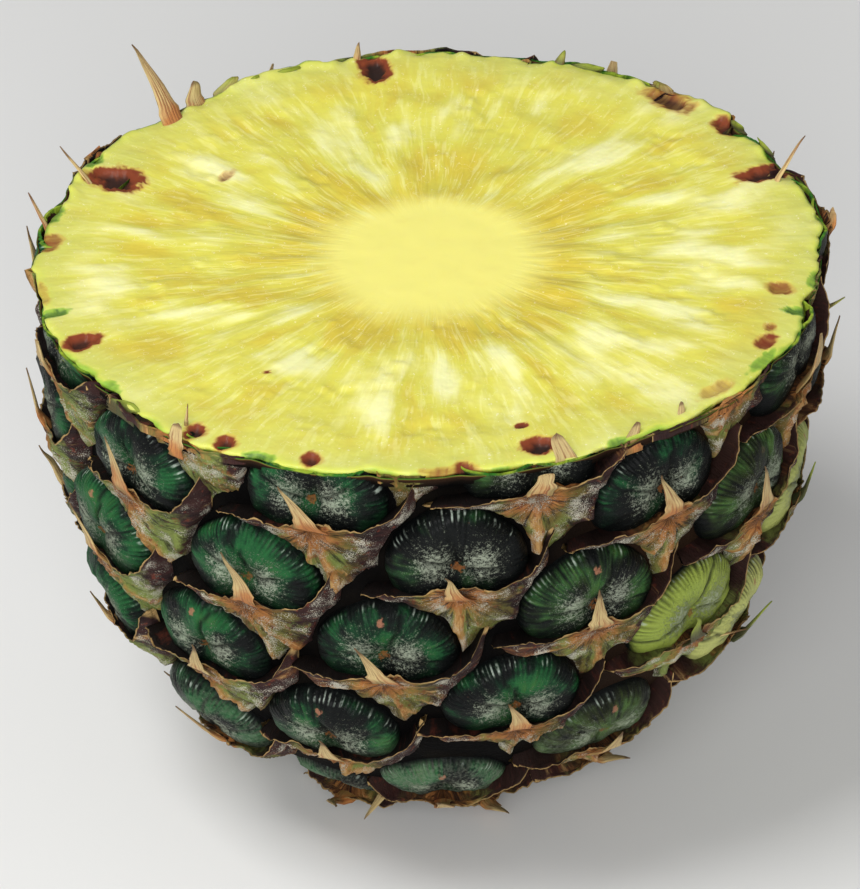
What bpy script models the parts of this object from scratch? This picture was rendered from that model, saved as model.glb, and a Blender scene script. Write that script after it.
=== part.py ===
"""The lower half of a pineapple, cut across and standing on its stem end.

It is one solid: a turned body that carries the fruit's spiral of eyes. Every eye is a
flattened dome with a dry bract below it: a shield that fills the space down to the next
eyes, and a pointed tip that curls up over its own dome. One Boolean union joins them, a
slightly tilted knife cut takes the top off, a second union adds the few spikes that the
knife missed, and a level cut makes the small flat spot that the half stands on.

Units are metres and +Z is up. The origin is the middle of the underside. Azimuth 0 is
the side that faces -Y, and azimuth grows towards +X.
"""

import math

import bmesh
import bpy
import numpy as np
from mathutils import Matrix

# ---- the fruit ----------------------------------------------------------------------
FRUIT_RADIUS = 0.0624  # nominal skin, where the fruit is cut
OUTLINE_DEPTH = 0.0990  # from the cut to the point where the outline would close
SHOULDER = 3.35  # how late the outline turns in: higher is squarer
ROUNDNESS = 1.37  # how round the turn to the base is
TAPER = 0.0985  # share of the radius lost on the way down
STEM_RADIUS = 0.0136  # nominal skin at the floor, where the stem was cut
CUT_TILT = math.radians(1.7)  # the knife cut rises towards +X

# ---- the spiral of eyes -------------------------------------------------------------
TURN_PER_EYE = math.radians(137.62)
FIRST_AZIMUTH = math.radians(4.0)  # azimuth of the eye numbered 0
RISE_PER_EYE = 0.001344  # arc length down the skin from one eye to the next
EYES_TO_CUT = 11.53  # eye 0 lies this many rises below the cut
STRETCH = 2.5  # how fast the rise grows as the fruit narrows
NARROWEST = 0.75  # share of the radius below which it grows no more
HIGHEST_EYE = -27  # its bract is the last that still reaches below the cut
LAST_RADIUS = 0.44  # share of the radius where the eyes give way to the stem
SMALLEST = 0.45  # size of an eye at the axis, as a share of a full-size one
GROWTH = 0.75  # how fast that share grows with the radius

# ---- one full-size eye, in its own frame: x across, y up the skin, height off it ----
EYE_HALF_WIDTH = 0.0116
EYE_ABOVE = 0.0084  # from its centre to its upper edge
EYE_BELOW = 0.0066
EYE_CROWN = 0.0006  # top of the dome
EYE_CROWN_SPREAD = (-0.0006, 0.0004)  # how far the crowns differ
EYE_CORNERS = 5.0  # how flat the dome is on top: 2 is a plain ellipsoid
EYE_DROOP = 0.0012  # how far its two ends hang below its middle
GROOVE = -0.0048  # the turned body, which shows between the eyes
ROOT = -0.0068  # how deep the pieces reach into the body

# ---- one full-size bract: its two side lines run down from the upper margin ---------
BRACT_LEFT = ((-0.0125, -0.0062), (-0.0068, -0.0105), (-0.0030, -0.0155), (0.0000, -0.0205))
BRACT_RIGHT = ((0.0130, -0.0042), (0.0113, -0.0090), (0.0098, -0.0155), (0.0032, -0.0210))
MARGIN_SAG = 0.0024  # how far the upper margin hangs between its ends
UNDERCUT = 0.0040  # how far the margin hangs free over the gap behind it
KEEL_TOP = 0.0020  # height of the keel where the tip leaves the shield
KEEL_FOOT = -0.0024  # height of the keel at the lower point
KEEL_FALL = 2.2  # how late the keel falls
WING_TOP = -0.0018  # height of the side edges at the margin
WING_DROP = 0.0010  # how much lower they are at the foot
FOLD = 1.7  # how sharply the shield is folded along its keel

# ---- tips and spikes ----------------------------------------------------------------
TIP_WIDTH = 0.0046
TIP_FOOT = 0.0030  # how far the tip reaches back under the shield
TIP_LENGTH = 0.0080
TIP_LIFT = 0.0010  # how far the tip curls away from the skin
TIP_LEAN = -0.0010  # the tips lean a little to one side
TIP_LEAN_SPREAD = 0.0012
TIP_THICKNESS = 0.0014
CURL = 1.6  # how late a tip curls
BLUNT_END = 0.15  # width of its point, as a share of its foot
SPIKE_FOOT = -0.0055  # height where a spike starts, inside the body
# Each spike: azimuth in degrees, arc below the cut, length, width at the foot, how far
# it leans out from the skin, and how far sideways.
SPIKES = (
    (-135.5, 0.0040, 0.0140, 0.0078, 0.0140, -0.0010),
    (-142.0, 0.0030, 0.0050, 0.0070, 0.0070, 0.0010),
    (-113.0, 0.0060, 0.0110, 0.0024, 0.0075, -0.0015),
    (103.0, 0.0040, 0.0120, 0.0028, 0.0066, 0.0010),
    (57.0, 0.0660, 0.0130, 0.0026, 0.0090, 0.0020),
    (-11.0, 0.0960, 0.0080, 0.0036, 0.0100, -0.0020),
)

# ---- fineness -----------------------------------------------------------------------
OUTLINE_STEPS = 1500
BODY_SEGMENTS = 26
BODY_RINGS = 9
BODY_END = 0.98  # share of the outline's depth where the body stops, below the floor
BODY_TOP = 0.020  # how far it starts above the cut
EYE_SEGMENTS = 10
EYE_RINGS = 4
BRACT_COLUMNS = 4
BRACT_ROWS = 2
SLIVER = 0.000005  # edges shorter than this are collapsed after a join

rng = np.random.default_rng(8)


def outline_radius(depth):
    """Skin radius at a depth below the cut: a superellipse with a slight taper."""
    share = np.clip(depth / OUTLINE_DEPTH, 0, 1)
    return FRUIT_RADIUS * (1 - share**SHOULDER) ** (1 / ROUNDNESS) * (1 - TAPER * share)


# The outline as a table of depth, radius, arc length and eyes passed, down from the cut.
DEPTHS = OUTLINE_DEPTH * np.sin(np.linspace(0, math.pi / 2, OUTLINE_STEPS))
RADII = outline_radius(DEPTHS)
STEPS = np.hypot(np.diff(DEPTHS), np.diff(RADII))
ARCS = np.concatenate([[0], np.cumsum(STEPS)])
RISES = RISE_PER_EYE * np.clip(RADII[1:] / FRUIT_RADIUS, NARROWEST, 1) ** -STRETCH
EYES_DOWN = np.concatenate([[0], np.cumsum(STEPS / RISES)])
HEIGHT = float(np.interp(-STEM_RADIUS, -RADII, DEPTHS))  # from the floor to the cut

# The knife's frame has its origin in the middle of the cut, and the cut is its z = 0.
KNIFE = Matrix.Rotation(CUT_TILT, 4, "Y") @ Matrix.Translation((0, 0, -HEIGHT))
FLOOR = Matrix.Identity(4)


def skin_point(azimuth, arc, height):
    """The point at this height off the nominal skin; arcs above the cut lie on a cylinder."""
    depth = np.where(arc < 0, arc, np.interp(arc, ARCS, DEPTHS))
    radius = np.interp(arc, ARCS, RADII)
    step = 0.0005
    run = np.interp(arc + step, ARCS, RADII) - np.interp(arc - step, ARCS, RADII)
    lean = np.arcsin(np.clip(run / (2 * step), -1, 1))
    reach = radius + height * np.cos(lean)
    z = HEIGHT - depth + height * np.sin(lean)
    return np.stack([reach * np.sin(azimuth), -reach * np.cos(azimuth), z], axis=-1)


class Eye:
    """One eye of the spiral: its place on the skin, its size and its small differences."""

    def __init__(self, number):
        self.number = number
        self.azimuth = FIRST_AZIMUTH + number * TURN_PER_EYE
        eyes_down = number + EYES_TO_CUT
        self.arc = float(np.interp(eyes_down, EYES_DOWN, ARCS))
        if eyes_down < 0:
            self.arc = eyes_down * RISE_PER_EYE
        self.radius = float(np.interp(self.arc, ARCS, RADII))
        self.scale = min(1.0, SMALLEST + GROWTH * self.radius / FRUIT_RADIUS)
        self.crown = EYE_CROWN + rng.uniform(*EYE_CROWN_SPREAD)
        self.tip_length = TIP_LENGTH * rng.uniform(0.75, 1.2)
        self.tip_lean = rng.normal(TIP_LEAN, TIP_LEAN_SPREAD)
        self.tip_lift = TIP_LIFT * rng.uniform(0.6, 1.5)

    def place(self, x, y, height):
        """Points given in the eye's own frame, laid on the skin round it."""
        x, y = x * self.scale, y * self.scale
        return skin_point(self.azimuth + x / self.radius, self.arc - y, height)


def coordinates(bm):
    return np.array([vertex.co for vertex in bm.verts])


def add_piece(name, bm, places, collection):
    """Moves a primitive's vertices to their places, and links it as a closed piece."""
    for vertex, place in zip(bm.verts, places):
        vertex.co = place
    bmesh.ops.recalc_face_normals(bm, faces=bm.faces)
    mesh = bpy.data.meshes.new(name)
    bm.to_mesh(mesh)
    bm.free()
    collection.objects.link(bpy.data.objects.new(name, mesh))


def add_body(collection):
    """The body below the eyes, turned from an open profile that runs down its outer side."""
    outline = bpy.data.meshes.new("outline")
    depths = OUTLINE_DEPTH * BODY_END * np.sin(np.linspace(0, math.pi / 2, BODY_RINGS))
    radii = np.maximum(outline_radius(depths), STEM_RADIUS) + GROOVE
    points = [(0, 0, HEIGHT + BODY_TOP), (radii[0], 0, HEIGHT + BODY_TOP)]
    points += [(radius, 0, HEIGHT - depth) for radius, depth in zip(radii, depths)]
    points += [(0, 0, HEIGHT - depths[-1])]
    outline.from_pydata(points, [(i, i + 1) for i in range(len(points) - 1)], [])
    body = bpy.data.objects.new("pineapple_half", outline)
    collection.objects.link(body)
    screw = body.modifiers.new("turn", "SCREW")
    screw.steps = screw.render_steps = BODY_SEGMENTS
    screw.use_merge_vertices = True
    screw.merge_threshold = 0.00001
    screw.use_normal_calculate = True
    return body


def add_dome(eye, collection):
    """The eye: a sphere flattened to a wide lens whose ends droop, laid on the skin."""
    bm = bmesh.new()
    bmesh.ops.create_uvsphere(bm, u_segments=EYE_SEGMENTS, v_segments=EYE_RINGS, radius=1)
    unit = coordinates(bm)
    spread = np.minimum(np.hypot(unit[:, 0], unit[:, 1]), 1)
    x = EYE_HALF_WIDTH * unit[:, 0]
    y = np.where(unit[:, 1] > 0, EYE_ABOVE, EYE_BELOW) * unit[:, 1] - EYE_DROOP * unit[:, 0] ** 2
    rise = np.sign(unit[:, 2]) * (1 - spread**EYE_CORNERS) ** (1 / EYE_CORNERS)
    height = ROOT + (eye.crown - ROOT) * eye.scale * rise
    add_piece(f"dome_{eye.number}", bm, eye.place(x, y, height), collection)


def along(points, share):
    """A run through a few evenly spaced points, read at shares 0 to 1."""
    places = np.linspace(0, 1, len(points))
    return np.stack([np.interp(share, places, axis) for axis in zip(*points)], axis=-1)


def add_bract(eye, collection):
    """The shield below the eye: a slab stretched between two side lines and folded along a keel."""
    bm = bmesh.new()
    bmesh.ops.create_grid(bm, x_segments=BRACT_COLUMNS, y_segments=BRACT_ROWS, size=1)
    under = len(bm.verts)
    bmesh.ops.extrude_face_region(bm, geom=bm.faces[:])
    unit = coordinates(bm)
    on_top = np.arange(len(unit)) >= under
    across, down = unit[:, 0], (1 - unit[:, 1]) / 2
    left, right = along(BRACT_LEFT, down), along(BRACT_RIGHT, down)
    x, y = (left + (right - left) * ((across + 1) / 2)[:, None]).T
    y = y - MARGIN_SAG * (1 - across**2) * (1 - down)
    y = y - np.where(on_top, 0, UNDERCUT * (1 - down))
    keel = KEEL_TOP + (KEEL_FOOT - KEEL_TOP) * down**KEEL_FALL
    wing = WING_TOP - WING_DROP * down
    height = wing + (keel - WING_TOP) * (1 - np.abs(across) ** FOLD)
    places = eye.place(x, y, np.where(on_top, height, ROOT))
    add_piece(f"bract_{eye.number}", bm, places, collection)


def spike_shape(width, length, lift, lean):
    """A keeled spike, flat below: its mesh, and its points where it runs up from y = 0."""
    bm = bmesh.new()
    bmesh.ops.create_cone(
        bm, cap_ends=True, segments=3, radius1=1, radius2=BLUNT_END, depth=2
    )
    everything = bm.verts[:] + bm.edges[:] + bm.faces[:]
    bmesh.ops.bisect_plane(bm, geom=everything, plane_co=(0, 0, 0), plane_no=(0, 0, 1))
    unit = coordinates(bm)
    up = (1 + unit[:, 2]) / 2
    slope = np.arctan2(CURL * lift * up ** (CURL - 1), length)
    keel = unit[:, 1] * TIP_THICKNESS
    x = unit[:, 0] * width / 2 + lean * up**2
    y = length * up - keel * np.sin(slope)
    return bm, x, y, lift * up**CURL + keel * np.cos(slope)


def add_tip(eye, collection):
    """The dry tip, which starts behind the shield's margin and curls off the skin."""
    length = eye.tip_length + TIP_FOOT
    bm, x, y, height = spike_shape(TIP_WIDTH, length, eye.tip_lift, eye.tip_lean)
    y = y - EYE_BELOW - MARGIN_SAG - TIP_FOOT
    height = height + KEEL_TOP - TIP_THICKNESS / 2
    add_piece(f"tip_{eye.number}", bm, eye.place(x, y, height), collection)


def add_spike(number, collection):
    """One of the spikes that stand clear of the skin or above the cut."""
    azimuth, arc, length, width, lift, lean = SPIKES[number]
    bm, x, y, height = spike_shape(width, length, lift, lean)
    turn = math.radians(azimuth) + x / np.interp(arc, ARCS, RADII)
    places = skin_point(turn, arc - y, height + SPIKE_FOOT)
    add_piece(f"spike_{number}", bm, places, collection)


def apply_modifiers(obj):
    bpy.context.view_layer.update()
    graph = bpy.context.evaluated_depsgraph_get()
    mesh = bpy.data.meshes.new_from_object(obj.evaluated_get(graph))
    obj.modifiers.clear()
    obj.data = mesh


def join(obj, collection):
    """Joins a collection's pieces to the object by one union, and removes them."""
    union = obj.modifiers.new("join", "BOOLEAN")
    union.operation = "UNION"
    union.operand_type = "COLLECTION"
    union.collection = collection
    apply_modifiers(obj)
    for piece in list(collection.objects):
        bpy.data.objects.remove(piece)


def slice_off(obj, frame, side):
    """Cuts the closed object at a frame's z = 0, removes that side, and closes the cut flat."""
    bm = bmesh.new()
    bm.from_mesh(obj.data)
    bm.transform(frame)
    everything = bm.verts[:] + bm.edges[:] + bm.faces[:]
    cut = bmesh.ops.bisect_plane(
        bm, geom=everything, plane_co=(0, 0, 0), plane_no=(0, 0, side), clear_outer=True
    )
    edges = [part for part in cut["geom_cut"] if isinstance(part, bmesh.types.BMEdge)]
    for edge in edges:
        for vertex in edge.verts:
            vertex.co.z = 0
    bmesh.ops.edgeloop_fill(bm, edges=edges)
    bmesh.ops.recalc_face_normals(bm, faces=bm.faces)
    bmesh.ops.triangulate(bm, faces=bm.faces)
    bmesh.ops.remove_doubles(bm, verts=bm.verts, dist=SLIVER)
    bmesh.ops.dissolve_degenerate(bm, edges=bm.edges, dist=SLIVER)
    bm.transform(frame.inverted())
    bm.to_mesh(obj.data)
    bm.free()


def keep_outer_shell(obj):
    """Fills the hollows that joining sealed, and drops loose scraps: the largest shell stays."""
    bm = bmesh.new()
    bm.from_mesh(obj.data)
    bm.faces.ensure_lookup_table()
    left = dict.fromkeys(range(len(bm.faces)))
    largest = []
    while left:
        shell = [bm.faces[left.popitem()[0]]]
        for face in shell:
            for other in (near for edge in face.edges for near in edge.link_faces):
                if other.index in left:
                    del left[other.index]
                    shell.append(other)
        largest = max(largest, shell, key=len)
    kept = {face.index for face in largest}
    extra = [face for face in bm.faces if face.index not in kept]
    bmesh.ops.delete(bm, geom=extra, context="FACES")
    bm.to_mesh(obj.data)
    bm.free()


def add_material(obj, name, colour, roughness):
    material = bpy.data.materials.new(name)
    material.use_nodes = True
    shader = material.node_tree.nodes["Principled BSDF"]
    shader.inputs["Base Color"].default_value = (*colour, 1)
    shader.inputs["Roughness"].default_value = roughness
    obj.data.materials.append(material)


def colour_faces(obj):
    """Skin all over, and flesh on the face of the cut."""
    add_material(obj, "skin", (0.07, 0.085, 0.03), 0.55)
    add_material(obj, "flesh", (0.80, 0.72, 0.25), 0.30)
    for face in obj.data.polygons:
        in_cut = abs((KNIFE @ face.center).z) < SLIVER
        face.material_index = 1 if in_cut and face.normal.z > 0 else 0


def main():
    for obj in list(bpy.data.objects):
        bpy.data.objects.remove(obj)
    fruit = bpy.data.collections.new("pineapple half")
    grown = bpy.data.collections.new("grown pieces")
    bpy.context.scene.collection.children.link(fruit)
    bpy.context.scene.collection.children.link(grown)

    half = add_body(fruit)
    eye = Eye(HIGHEST_EYE)
    while eye.radius > LAST_RADIUS * FRUIT_RADIUS:
        add_dome(eye, grown)
        add_bract(eye, grown)
        add_tip(eye, grown)
        eye = Eye(eye.number + 1)
    print("eyes", eye.number - HIGHEST_EYE)
    join(half, grown)
    slice_off(half, KNIFE, 1)
    for number in range(len(SPIKES)):
        add_spike(number, grown)
    join(half, grown)
    slice_off(half, FLOOR, -1)
    bpy.data.collections.remove(grown)
    keep_outer_shell(half)
    colour_faces(half)
    print("triangles", len(half.data.polygons))


main()
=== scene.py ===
# %% [markdown]
# # The lower half of a pineapple, cut across
# The CAD model gives the size, the place and the solid that a simulation collides with.
# This lesson dresses it: every eye, every dry bract and the wet cut face become a mesh of
# their own. A scan or hand sculpting could do it as well, but the skin of a pineapple
# follows a strict spiral, so arithmetic reaches every eye at once and stays easy to change.

import itertools
import math
from types import SimpleNamespace

import bmesh
import bpy
import numpy as np
from mathutils import Matrix, Vector


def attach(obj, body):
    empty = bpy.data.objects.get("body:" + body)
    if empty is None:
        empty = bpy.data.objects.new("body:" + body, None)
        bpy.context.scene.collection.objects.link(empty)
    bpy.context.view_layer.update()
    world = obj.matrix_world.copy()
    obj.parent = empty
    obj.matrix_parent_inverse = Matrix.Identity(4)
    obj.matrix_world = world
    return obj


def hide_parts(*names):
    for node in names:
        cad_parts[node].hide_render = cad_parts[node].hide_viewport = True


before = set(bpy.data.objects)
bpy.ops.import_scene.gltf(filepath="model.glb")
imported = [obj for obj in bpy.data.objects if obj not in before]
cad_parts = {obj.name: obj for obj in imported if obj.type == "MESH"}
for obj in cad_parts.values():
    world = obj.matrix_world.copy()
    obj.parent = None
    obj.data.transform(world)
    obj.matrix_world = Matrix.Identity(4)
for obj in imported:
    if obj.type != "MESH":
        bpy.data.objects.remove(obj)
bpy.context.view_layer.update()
NODE = "pineapple_half"

# %% [markdown]
# ## The outline of the fruit
# A pineapple is nearly a barrel: straight sides that turn in late and roundly towards the
# stem. A superellipse with a slight taper says that in five numbers. The same numbers made
# the solid, so the skin drawn here lies on it. Lengths are in millimetres, which suit a
# fruit, and become metres only when a mesh is made.

# %% Outline, as tables that run down from the cut
MM = 0.001
FRUIT_RADIUS = 62.4
OUTLINE_DEPTH = 99.0
SHOULDER = 3.35
ROUNDNESS = 1.37
TAPER = 0.0985
STEM_RADIUS = 13.6
CUT_TILT = math.radians(1.7)


def outline_radius(depth):
    """Skin radius at a depth below the cut: a superellipse with a slight taper."""
    share = np.clip(depth / OUTLINE_DEPTH, 0, 1)
    return FRUIT_RADIUS * (1 - share**SHOULDER) ** (1 / ROUNDNESS) * (1 - TAPER * share)


DEPTHS = OUTLINE_DEPTH * np.sin(np.linspace(0, math.pi / 2, 1500))
RADII = outline_radius(DEPTHS)
STEPS = np.hypot(np.diff(DEPTHS), np.diff(RADII))
ARCS = np.concatenate([[0], np.cumsum(STEPS)])
HEIGHT = float(np.interp(-STEM_RADIUS, -RADII, DEPTHS))
LEAN_STEP = 0.5
LEANS = np.arcsin(np.clip(
    (np.interp(ARCS + LEAN_STEP, ARCS, RADII) - np.interp(ARCS - LEAN_STEP, ARCS, RADII))
    / (2 * LEAN_STEP), -1, 1))


def on_skin(azimuth, arc, height):
    """A point at a height off the skin: out from the axis by the radius at that arc, then along
    the outline's normal. Arcs above the cut lie on a cylinder."""
    depth = np.where(arc < 0, arc, np.interp(arc, ARCS, DEPTHS))
    lean = np.interp(arc, ARCS, LEANS)
    reach = np.interp(arc, ARCS, RADII) + height * np.cos(lean)
    z = HEIGHT - depth + height * np.sin(lean)
    return np.stack([reach * np.sin(azimuth), -reach * np.cos(azimuth), z], -1)


print(f"floor to cut {HEIGHT:.1f} mm, skin {2 * FRUIT_RADIUS:.1f} mm across at the cut")

# %% [markdown]
# ## The spiral of eyes
# Each new eye sits a golden angle round the fruit from the one before and a little lower.
# That one rule gives the crossing rows that everybody knows. Each eye also gets its own
# small differences: how high it stands, how long its dry tip is, how green it is.

# %% One row of numbers for each eye
TURN_PER_EYE = math.radians(137.62)
FIRST_AZIMUTH = math.radians(4.0)
RISE_PER_EYE = 1.344
EYES_TO_CUT = 11.53
STRETCH = 2.5
NARROWEST = 0.75
EYE_NUMBERS = np.arange(-27, 52)
LOWER_FROM = 26
SMALLEST = 0.45
GROWTH = 0.75
CROWN = 0.6
TIP_LENGTH = 8.6
BROKEN_TIP, STUB = 0, 0.4
GREENEST_AZIMUTH = math.radians(-65)
DARKEST, DARKER = (0, -13), 0.32
STILL_GREEN, RIPE_LEFT = (29, 37), 0.15

RISES = RISE_PER_EYE * np.clip(RADII[1:] / FRUIT_RADIUS, NARROWEST, 1) ** -STRETCH
EYES_DOWN = np.concatenate([[0], np.cumsum(STEPS / RISES)])
spiral = np.random.default_rng(8)
looks = np.random.default_rng(21)
draws = np.array([
    (spiral.uniform(-0.6, 0.4), spiral.uniform(0.75, 1.2), spiral.normal(-1.0, 1.2),
     spiral.uniform(0.6, 1.5)) for _ in EYE_NUMBERS])


def smooth(value, low, high):
    """0 below low and 1 above high, with an S-shaped step between. High may be the smaller."""
    share = np.clip((value - low) / (high - low), 0, 1)
    return share * share * (3 - 2 * share)


def bell(value):
    """1 at nought, falling off on both sides like a bell."""
    return np.exp(-(value**2))


def mound(x, y, at, reach):
    """1 at a place, falling off all round it like a bell."""
    return bell(np.hypot(x - at[0], y - at[1]) / reach)


def stacked(*parts):
    """Grids of any matching shapes, as the parts of one grid of vectors."""
    return np.stack(np.broadcast_arrays(*parts), -1)


def column(values):
    """One number for each eye, shaped to work on a grid of points for each eye."""
    return np.asarray(values, float)[:, None, None]


def wrapped(angle):
    """The same direction as an angle from minus half a turn to half a turn."""
    return (angle + math.pi) % (2 * math.pi) - math.pi


eyes_down = EYE_NUMBERS + EYES_TO_CUT
arcs = np.where(eyes_down < 0, eyes_down * RISE_PER_EYE, np.interp(eyes_down, EYES_DOWN, ARCS))
radii = np.interp(arcs, ARCS, RADII)
azimuths = wrapped(FIRST_AZIMUTH + EYE_NUMBERS * TURN_PER_EYE)
# Some eyes on the right have turned lime. The rest are green, more so on one side and below.
degrees = np.degrees(azimuths)
ripe = smooth(degrees, 22, 45) * smooth(degrees, 125, 90) * smooth(arcs, 18, 38)
ripe = ripe * np.where(np.isin(EYE_NUMBERS, STILL_GREEN), RIPE_LEFT, 1)
green = 0.60 + 0.22 * np.cos(azimuths - GREENEST_AZIMUTH) + looks.uniform(-0.12, 0.12, len(arcs))
green = green + 0.10 * smooth(arcs, 50, 75) - DARKER * np.isin(EYE_NUMBERS, DARKEST)
lengths = TIP_LENGTH * draws[:, 1] * np.where(EYE_NUMBERS == BROKEN_TIP, STUB, 1)
eyes = SimpleNamespace(
    azimuth=column(azimuths), arc=column(arcs), radius=column(radii),
    scale=column(np.minimum(1, SMALLEST + GROWTH * radii / FRUIT_RADIUS)),
    crown=column(CROWN + draws[:, 0]), tip_length=column(lengths),
    tip_lean=column(draws[:, 2]), tip_lift=column(draws[:, 3]),
    own=column(looks.uniform(0, 1, len(arcs))), green=column(np.clip(green, 0.25, 1)),
    lime=column(np.clip(ripe * (1 + 0.5 * smooth(azimuths, 0.75, 1.05))
                        + 0.1 * smooth(azimuths, 0.5, 0.9) * smooth(azimuths, 2.2, 1.6)
                        + looks.uniform(-0.1, 0.15, len(arcs)), 0, 1.5)))


def on_eyes(x, y, height):
    """Points given for every eye as x across, y up the skin and height off it, in the eye's own
    millimetres, laid on the skin round that eye."""
    azimuth = eyes.azimuth + x * eyes.scale / eyes.radius
    return on_skin(azimuth, eyes.arc - y * eyes.scale, height)


print(len(EYE_NUMBERS), "eyes; the lowest lies at radius", round(float(radii[-1]), 1), "mm")

# %% [markdown]
# ## Helpers for meshes
# A surface here is a grid of points, one array for the whole piece. Rings of points joined
# by quads make a tube or a dome, and a pole or a flat face closes each end. NumPy hands the
# arrays to Blender in one go, which is far quicker than adding vertices one by one.

# %% Grids to faces, arrays to meshes


def placed(name, data):
    """An object at the origin that shows the data."""
    made = bpy.data.objects.new(name, data)
    bpy.context.scene.collection.objects.link(made)
    return made


def ring_quads(rings, around):
    """Quads between neighbouring rings, each ring closed on itself."""
    ring, step = np.meshgrid(np.arange(rings - 1), np.arange(around), indexing="ij")
    after = (step + 1) % around
    low, high = ring * around, (ring + 1) * around
    return np.stack([low + step, low + after, high + after, high + step], -1).reshape(-1, 4)


def repeated(faces, count, size):
    """The same faces for each of count pieces that have size points each."""
    return (faces[None] + size * np.arange(count)[:, None, None]).reshape(-1, faces.shape[1])


def tubes(count, rings, around):
    """Faces for count tubes of rings, each with a flat face at both ends, and points per tube."""
    ring, size = np.arange(around), rings * around
    ends = np.stack([ring[::-1], size - around + ring])
    return [repeated(part, count, size) for part in (ring_quads(rings, around), ends)]


def make_mesh(name, points, face_sets, **fields):
    """A smooth mesh from points in millimetres and sets of faces, with numbers kept per point."""
    points = np.asarray(points).reshape(-1, 3)
    mesh = bpy.data.meshes.new(name)
    mesh.vertices.add(len(points))
    mesh.vertices.foreach_set("co", (points * MM).astype(np.float32).ravel())
    corners = np.concatenate([faces.ravel() for faces in face_sets]).astype(np.int32)
    sizes = np.concatenate([np.full(len(faces), faces.shape[1]) for faces in face_sets])
    mesh.loops.add(len(corners))
    mesh.loops.foreach_set("vertex_index", corners)
    mesh.polygons.add(len(sizes))
    mesh.polygons.foreach_set("loop_start", (np.cumsum(sizes) - sizes).astype(np.int32))
    mesh.update(calc_edges=True)
    mesh.polygons.foreach_set("use_smooth", np.ones(len(sizes), bool))
    for field, values in fields.items():
        values = np.asarray(values, np.float32).ravel()
        kind, key = {1: ("FLOAT", "value"), 3: ("FLOAT_VECTOR", "vector")}[values.size // len(points)]
        mesh.attributes.new(field, kind, "POINT").data.foreach_set(key, values)
    return mesh


def add_piece(mesh, finish, stands_for_solid=False):
    """Links a mesh as a piece of the fruit: it rides on the root and takes the finish given."""
    piece = placed(mesh.name, mesh)
    mesh.materials.append(finish)
    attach(piece, "root")
    if stands_for_solid:
        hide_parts(NODE)
    print(mesh.name, len(mesh.polygons), "faces")


# %% [markdown]
# ## The knife and the board
# The fruit was cut right through: eyes and bracts near the top are sliced with the flesh.
# A Boolean with a big box would do it, but slicing a mesh at a plane is exact and quick. The
# edges of the slice are marked sharp, so that the skin keeps its shading up to the cut.

# %% Slice a mesh at a plane
KNIFE = Matrix.Rotation(CUT_TILT, 4, "Y") @ Matrix.Translation((0, 0, -HEIGHT * MM))
BOARD = Matrix.Identity(4)
SKIN_THICKNESS = 0.4
SINK = 1.6
SLICED = []  # every cut edge: x and y of its two ends in the knife's plane, and how rooted they are
GROOVE = -3.1


def slice_off(mesh, plane, side, skin=0.0):
    """Removes what lies on one side of a plane's z = 0 and closes the cut with flat faces. With
    a skin, in millimetres, only that much of the closed cut stays level, measured in from the
    outside, and the rest sinks out of sight, to leave room for the flesh."""
    bm = bmesh.new()
    bm.from_mesh(mesh)
    bm.transform(plane)
    cut = bmesh.ops.bisect_plane(
        bm, geom=bm.verts[:] + bm.edges[:] + bm.faces[:], plane_co=(0, 0, 0),
        plane_no=(0, 0, side), clear_outer=True)
    edges = [part for part in cut["geom_cut"] if isinstance(part, bmesh.types.BMEdge)]
    if plane is KNIFE and "rooted" in mesh.attributes:
        rooted = bm.verts.layers.float["rooted"]
        SLICED.append(np.array([[(v.co.x, v.co.y, v[rooted]) for v in edge.verts] for edge in edges]))
    closed = bmesh.ops.edgeloop_fill(bm, edges=edges)["faces"] if edges else []
    for edge in edges:
        edge.smooth = False
    for face in closed:
        face.smooth = False
        if face.normal.z * side < 0:
            face.normal_flip()
    if skin and closed:
        spot = bm.verts.layers.float_vector["spot"]
        for vertex in {v for face in closed for v in face.verts if v[spot].z < GROOVE}:
            vertex.co.z -= SINK * MM
        for scale, drop in ((1 - skin / FRUIT_RADIUS, 0), (1, SINK * MM)):
            made = bmesh.ops.extrude_face_region(bm, geom=closed)["geom"]
            bmesh.ops.delete(bm, geom=closed, context="FACES_ONLY")
            closed = [part for part in made if isinstance(part, bmesh.types.BMFace)]
            verts = [part for part in made if isinstance(part, bmesh.types.BMVert)]
            bmesh.ops.scale(bm, vec=(scale, scale, 1), verts=verts)
            bmesh.ops.translate(bm, vec=(0, 0, -drop), verts=verts)
    bm.transform(plane.inverted())
    bm.to_mesh(mesh)
    bm.free()


def cut_top(azimuth):
    """How far below the middle of the cut its edge lies, since the knife was a little tilted."""
    return -FRUIT_RADIUS * np.sin(azimuth) * math.tan(CUT_TILT)


def depth_below_cut(points):
    """Millimetres from the knife's plane, measured down."""
    x, z = points[..., 0], points[..., 2] - HEIGHT
    return x * math.sin(CUT_TILT) - z * math.cos(CUT_TILT)


print(f"the knife went through {HEIGHT:.1f} mm up, tilted {math.degrees(CUT_TILT):.1f} degrees")

# %% [markdown]
# ## Natural unevenness
# Nothing on a fruit repeats exactly. Value noise gives that: random numbers sit on a lattice
# and are blended smoothly between its points. Stretching the lattice gives streaks.

# %% Value noise for whole arrays
LATTICE = np.random.default_rng(5).uniform(-1, 1, 65536)
MIXERS = (73856093, 19349663, 83492791)


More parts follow.
